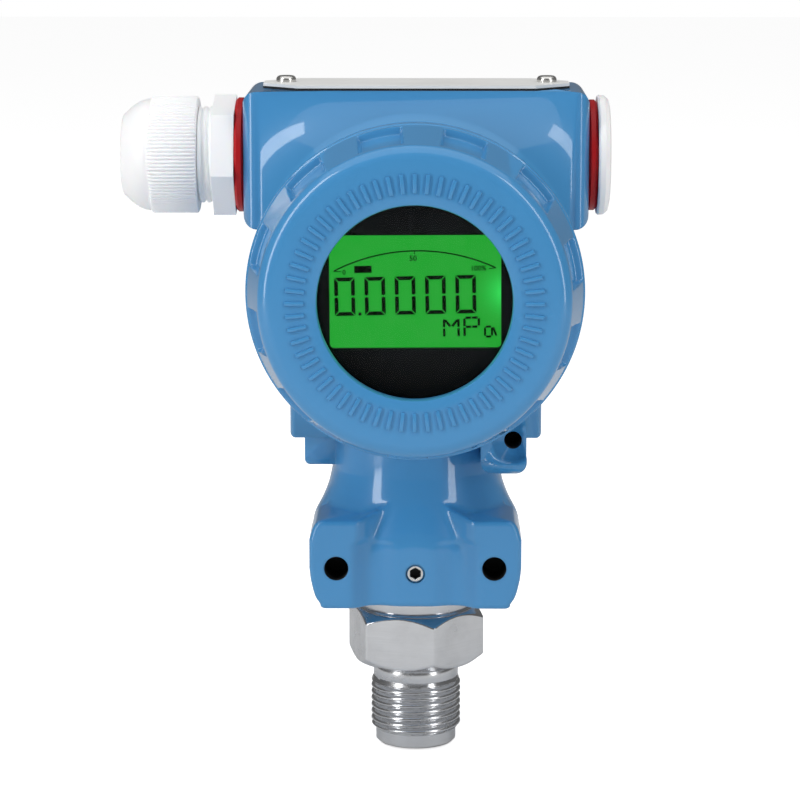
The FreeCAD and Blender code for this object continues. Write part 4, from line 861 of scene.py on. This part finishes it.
def markTree():
    tree = bpy.data.node_groups.new("ringOfMarks", "GeometryNodeTree")
    for name, kind in (("Count", "NodeSocketInt"), ("Radius", "NodeSocketFloat"), ("Mark", "NodeSocketObject"),
                       ("Finish", "NodeSocketMaterial")):
        tree.interface.new_socket(name=name, in_out="INPUT", socket_type=kind)
    tree.interface.new_socket(name="Geometry", in_out="OUTPUT", socket_type="NodeSocketGeometry")
    wiring = Wiring(tree)
    source = wiring.add("NodeGroupInput").outputs
    points = wiring.add("GeometryNodePoints")
    wiring.join(source["Count"], points.inputs["Count"])
    index = wiring.add("GeometryNodeInputIndex").outputs[0]
    turn = wiring.math("MULTIPLY", wiring.math("DIVIDE", index, source["Count"]), 2 * math.pi)
    place = wiring.add("ShaderNodeCombineXYZ")
    wiring.join(wiring.math("MULTIPLY", wiring.math("SINE", turn), source["Radius"]), place.inputs["X"])
    wiring.join(wiring.math("MULTIPLY", wiring.math("COSINE", turn), source["Radius"]), place.inputs["Z"])
    wiring.join(place.outputs[0], points.inputs["Position"])
    spin = wiring.add("ShaderNodeCombineXYZ")
    wiring.join(turn, spin.inputs["Y"])
    mark = wiring.add("GeometryNodeObjectInfo")
    wiring.join(source["Mark"], mark.inputs["Object"])
    spread = wiring.add("GeometryNodeInstanceOnPoints")
    wiring.join(points.outputs[0], spread.inputs["Points"])
    wiring.join(mark.outputs["Geometry"], spread.inputs["Instance"])
    wiring.join(spin.outputs[0], spread.inputs["Rotation"])
    real = wiring.add("GeometryNodeRealizeInstances")
    wiring.join(spread.outputs[0], real.inputs[0])
    finish = wiring.add("GeometryNodeSetMaterial")
    wiring.join(real.outputs[0], finish.inputs["Geometry"])
    wiring.join(source["Finish"], finish.inputs["Material"])
    wiring.join(finish.outputs[0], wiring.add("NodeGroupOutput").inputs[0])
    return tree


def makeCoverMarks():
    m = coverMarks
    bar = bmesh.new()
    bmesh.ops.create_cube(bar, size=1.0)
    bmesh.ops.scale(bar, vec=(m["width"] * mm, 2 * m["height"] * mm, m["length"] * mm), verts=bar.verts)
    bmesh.ops.bevel(bar, geom=bar.edges, offset=m["bevel"] * mm, segments=2, affect="EDGES", profile=0.5)
    barMesh = bpy.data.meshes.new("markBar")
    bar.to_mesh(barMesh)
    bar.free()
    barObject = bpy.data.objects.new("markBar", barMesh)
    bpy.context.scene.collection.objects.link(barObject)
    holder = bpy.data.objects.new("markHolder", bpy.data.meshes.new("markHolder"))
    bpy.context.scene.collection.objects.link(holder)
    tree = markTree()
    modifier = holder.modifiers.new("marks", "NODES")
    modifier.node_group = tree
    sockets = {item.name: item.identifier for item in tree.interface.items_tree if item.in_out == "INPUT"}
    modifier[sockets["Count"]] = m["count"]
    modifier[sockets["Radius"]] = m["radius"] * mm
    modifier[sockets["Mark"]] = barObject
    modifier[sockets["Finish"]] = crispPaint
    bpy.context.view_layer.update()
    ready = bpy.data.meshes.new_from_object(holder.evaluated_get(bpy.context.evaluated_depsgraph_get()))
    bpy.data.objects.remove(holder)
    bpy.data.objects.remove(barObject)
    low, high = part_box("front_cover")
    face = low.y + (cover["height"] - cover["face"]) * mm
    ready.transform(Matrix.Translation(((low.x + high.x) / 2, face, (low.z + high.z) / 2)))
    finishMesh(ready, 40)
    piece = bpy.data.objects.new("cover_marks", ready)
    bpy.context.scene.collection.objects.link(piece)
    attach(piece, "front_cover")


makeCoverMarks()
print("cover marks made")


# finishes of the carried-over pieces

finishes = {
    paint: ("rear_cover",),
    steel: ("sensor_capsule",),
    screwSteel: ("module_screws", "display_screws", "nameplate_screws"),
    plateMetal: ("nameplate",),
    brass: ("capsule_retainer", "sensor_pins", "feedthrough", "terminal_clamps", "terminal_screws",
            "display_posts"),
    nylon: ("gland_body", "blanking_plug"),
    redRubber: ("gland_oring", "plug_oring"),
    blackRubber: ("neck_oring", "capsule_oring", "front_cover_oring", "rear_cover_oring", "window_gasket",
                  "gland_insert", "nameplate_pad"),
    blackPlastic: ("display_bezel", "window_ring", "display_hub", "terminal_block"),
    darkCase: ("electronics_module",),
    boardGreen: ("sensor_board", "display_board"),
    paleGuide: ("lcd_backlight",),
    litPanel: ("lcd_panel",),
    windowClear: ("window_glass",),
}
replaced = {"process_connector": steel, "housing": paint, "front_cover": crispPaint, "gland_nut": nylon,
            "rotation_lock_screw": screwSteel}
for name, material in replaced.items():
    nodes[name].data.materials.clear()
    nodes[name].data.materials.append(material)
for material, names in finishes.items():
    for name in names:
        nodes[name].data.materials.clear()
        nodes[name].data.materials.append(material)
print("finishes given")


# studio

studio = {
    "worldFill": 0.25, "worldSheen": 0.15, "floorSize": 3.0, "floorDrop": 0.6,
    "lamps": (
        # name, place, aimed at, size, power
        ("leftBox", (-0.60, -0.46, 0.38), (0, 0, 0.09), (0.17, 0.80), 3.1),
        ("rightBox", (0.58, -0.50, 0.34), (0, 0, 0.09), (0.15, 0.80), 2.1),
        ("topBox", (0.0, -0.12, 0.80), (0, 0, 0.10), (1.3, 0.9), 3.7),
    ),
    "cameraPlace": (3.9, -667.0, 197.3), "cameraTilt": 10.2, "cameraYaw": 0.64, "lens": 138.24,
}


def makeWorld():
    world = bpy.data.worlds.new("studioWorld")
    bpy.context.scene.world = world
    world.use_nodes = True
    wiring = Wiring(world.node_tree)
    sky = world.node_tree.nodes["Background"]
    rays = wiring.add("ShaderNodeLightPath").outputs
    fill, sheen = studio["worldFill"], studio["worldSheen"]
    light = wiring.math("ADD", wiring.math("MULTIPLY", rays["Is Camera Ray"], 1.0 - fill), fill)
    dimmed = wiring.math("MULTIPLY", rays["Is Glossy Ray"], sheen - fill)
    wiring.join(wiring.math("ADD", light, dimmed), sky.inputs["Strength"])
    sky.inputs["Color"].default_value = (1, 1, 1, 1)


def makeFloor():
    shape = bmesh.new()
    bmesh.ops.create_grid(shape, x_segments=1, y_segments=1, size=studio["floorSize"])
    mesh = bpy.data.meshes.new("studioFloor")
    shape.to_mesh(mesh)
    shape.free()
    mesh.transform(Matrix.Translation((0, 0, -studio["floorDrop"] * mm)))
    material = bpy.data.materials.new("paleFloor")
    material.use_nodes = True
    wiring = Wiring(material.node_tree)
    shader = material.node_tree.nodes["Principled BSDF"]
    place = wiring.add("ShaderNodeTexCoord").outputs["Object"]
    wiring.join(wiring.blend(wiring.noise(place, 3.0), (0.86, 0.86, 0.86, 1), (0.88, 0.88, 0.88, 1)),
                shader.inputs["Base Color"])
    shader.inputs["Roughness"].default_value = 0.9
    shader.inputs["Emission Color"].default_value = (1, 1, 1, 1)
    seen = wiring.add("ShaderNodeLightPath").outputs["Is Camera Ray"]
    wiring.join(wiring.math("MULTIPLY", seen, 0.75), shader.inputs["Emission Strength"])
    mesh.materials.append(material)
    floor = bpy.data.objects.new("studioFloor", mesh)
    bpy.context.scene.collection.objects.link(floor)


def makeLamps():
    for name, place, target, (width, height), power in studio["lamps"]:
        lamp = bpy.data.lights.new(name, "AREA")
        lamp.shape = "RECTANGLE"
        lamp.size, lamp.size_y, lamp.energy = width, height, power
        holder = bpy.data.objects.new(name, lamp)
        holder.location = place
        holder.rotation_euler = (Vector(target) - Vector(place)).to_track_quat("-Z", "Y").to_euler()
        bpy.context.scene.collection.objects.link(holder)


def makeCamera():
    lens = bpy.data.cameras.new("viewCamera")
    lens.lens, lens.sensor_width = studio["lens"], 36.0
    camera = bpy.data.objects.new("viewCamera", lens)
    camera.location = Vector(studio["cameraPlace"]) * mm
    camera.rotation_euler = (math.radians(90 - studio["cameraTilt"]), 0, math.radians(studio["cameraYaw"]))
    bpy.context.scene.collection.objects.link(camera)
    bpy.context.scene.camera = camera


makeWorld()
makeFloor()
makeLamps()
makeCamera()
bpy.context.scene.view_settings.view_transform = "Standard"
print("studio set")
